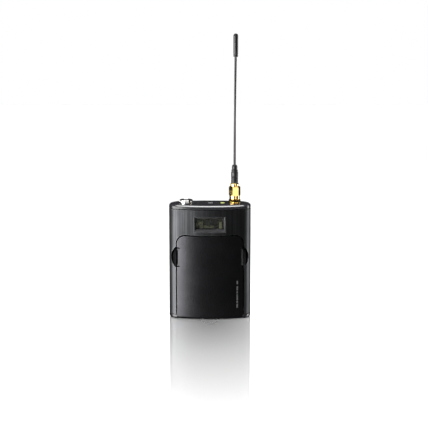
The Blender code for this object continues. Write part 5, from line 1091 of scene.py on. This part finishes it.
WHIP_LOW, WHIP_TALL, WHIP_LEAN, WHIP_STEPS = 118.7 * MM, 89.9 * MM, 0.7 * MM, 32
profile = []
for step in range(WHIP_STEPS + 1):
    share = step / WHIP_STEPS
    profile.append((0.95 * MM * (1 - 0.12 * math.sin(math.pi * share)), WHIP_LOW + WHIP_TALL * share))
whip = turned("whip_sheath", profile, ANTENNA_AXIS, sides=32)
bpy.ops.object.mode_set(mode="EDIT")
for step in range(1, WHIP_STEPS + 1):
    share = step / WHIP_STEPS
    pick(whip, "VERT", lambda co, way: abs(co.z - WHIP_LOW - WHIP_TALL * share) < 1e-6)
    bpy.ops.transform.translate(value=(WHIP_LEAN * share ** 2, 0, 0))
shade(whip, 50)
place_on(whip, whip_rubber, "antenna", "antenna_rubber", "antenna_whip")


# Tip: a black rubber cap with a round nose and a faint ring near its mouth, moulded over the upper end
# of the whip.

profile = [
    (1.05, 208.9), (1.05, 205.9), (1.6, 205.9), (1.76, 206.1), (1.8, 207.0), (1.7, 207.15), (1.7, 207.4),
    (1.8, 207.55), (1.85, 212), (1.85, 222.1), (1.74, 222.75), (1.45, 223.3), (1.0, 223.7), (0.5, 223.87),
    (0.15, 223.9),
]
tip = turned("whip_tip", in_metres(profile), (ANTENNA_X + WHIP_LEAN, 0, 0), sides=48)
shade(tip, 50)
place_on(tip, whip_rubber, "antenna", "antenna_rubber", "antenna_tip")


# Belt clip: a bracket folded from steel sheet and painted black, a sprung arm with a thumb pad and a
# rounded jaw, a steel pin through both, and a coil spring in the arm's window.

PIVOT_Y, PIVOT_Z, COIL_HALF = 17.5 * MM, 72.1 * MM, 3.2 * MM
clip_paint = coating("clip_paint", (0.03, 0.03, 0.031), 0.4, 0.35, grain=1900, depth=0.00002, cloud=90,
                     rub=0.8, rub_colour=(0.28, 0.28, 0.28), spread=0.08)
bracket = dressed("clip_bracket", "pivot_bracket", 0.2 * MM)
place_on(bracket, clip_paint, "housing", "clip_steel", "clip_bracket")
clip_arm = dressed("clip_arm", "belt_arm", 0.25 * MM)
place_on(clip_arm, clip_paint, "clip_arm", "clip_steel", "clip_arm")
profile = [(0.7, -9.8), (1.0, -9.5), (1.0, 9.5), (0.7, 9.8)]
pivot_pin = turned("pivot_pin", in_metres(profile), (0, PIVOT_Y, PIVOT_Z), (1, 0, 0), 40)
shade(pivot_pin)
place_on(pivot_pin, bright_steel, "housing", "screw_steel", "clip_pin")
clip_coil = dressed("clip_spring", "arm_coil", 0)
modify(clip_coil, "SUBSURF", levels=1)
shade(clip_coil, 60)
clip_coil.data.materials.clear()
clip_coil.data.materials.append(wire_steel)
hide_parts("clip_spring")
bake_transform(clip_coil)


# Screws: zinc-plated, with low round heads and hexagon sockets. Two hold the clip's bracket to the
# body and two hold the base to the tray.

zinc = coating("zinc_plate", (0.42, 0.42, 0.43), 0.3, 1.0, grain=4200, depth=0.000004, cloud=260, rub=0.4,
               rub_colour=(0.6, 0.6, 0.58))
HEAD_HIGH = 1.1
for node, place, way, length in (
    ("clip_screw_upper", (0, 14.3, 78.7), (0, 1, 0), 3.7),
    ("clip_screw_lower", (0, 14.3, 65.5), (0, 1, 0), 3.7),
    ("bottom_screw_left", (-19, 4, 1.4), (0, 0, -1), 7.2),
    ("bottom_screw_right", (19, 4, 1.4), (0, 0, -1), 7.2),
):
    place = Vector(place) * MM
    profile = [(0.85, -length), (1.0, -length + 0.2), (1.0, 0), (1.8, 0), (1.9, 0.1), (1.9, 0.6), (1.75, 0.9),
               (1.4, HEAD_HIGH), (0.3, HEAD_HIGH)]
    screw = turned(node + "_body", in_metres(profile), place, way, 48)
    socket = turned("socket", [(0.86 * MM, 0.45 * MM), (0.86 * MM, 2 * MM)], place, way, 6)
    carve(screw, socket)
    soften(screw, 0.05 * MM)
    place_on(screw, zinc, "housing", "screw_steel", node)
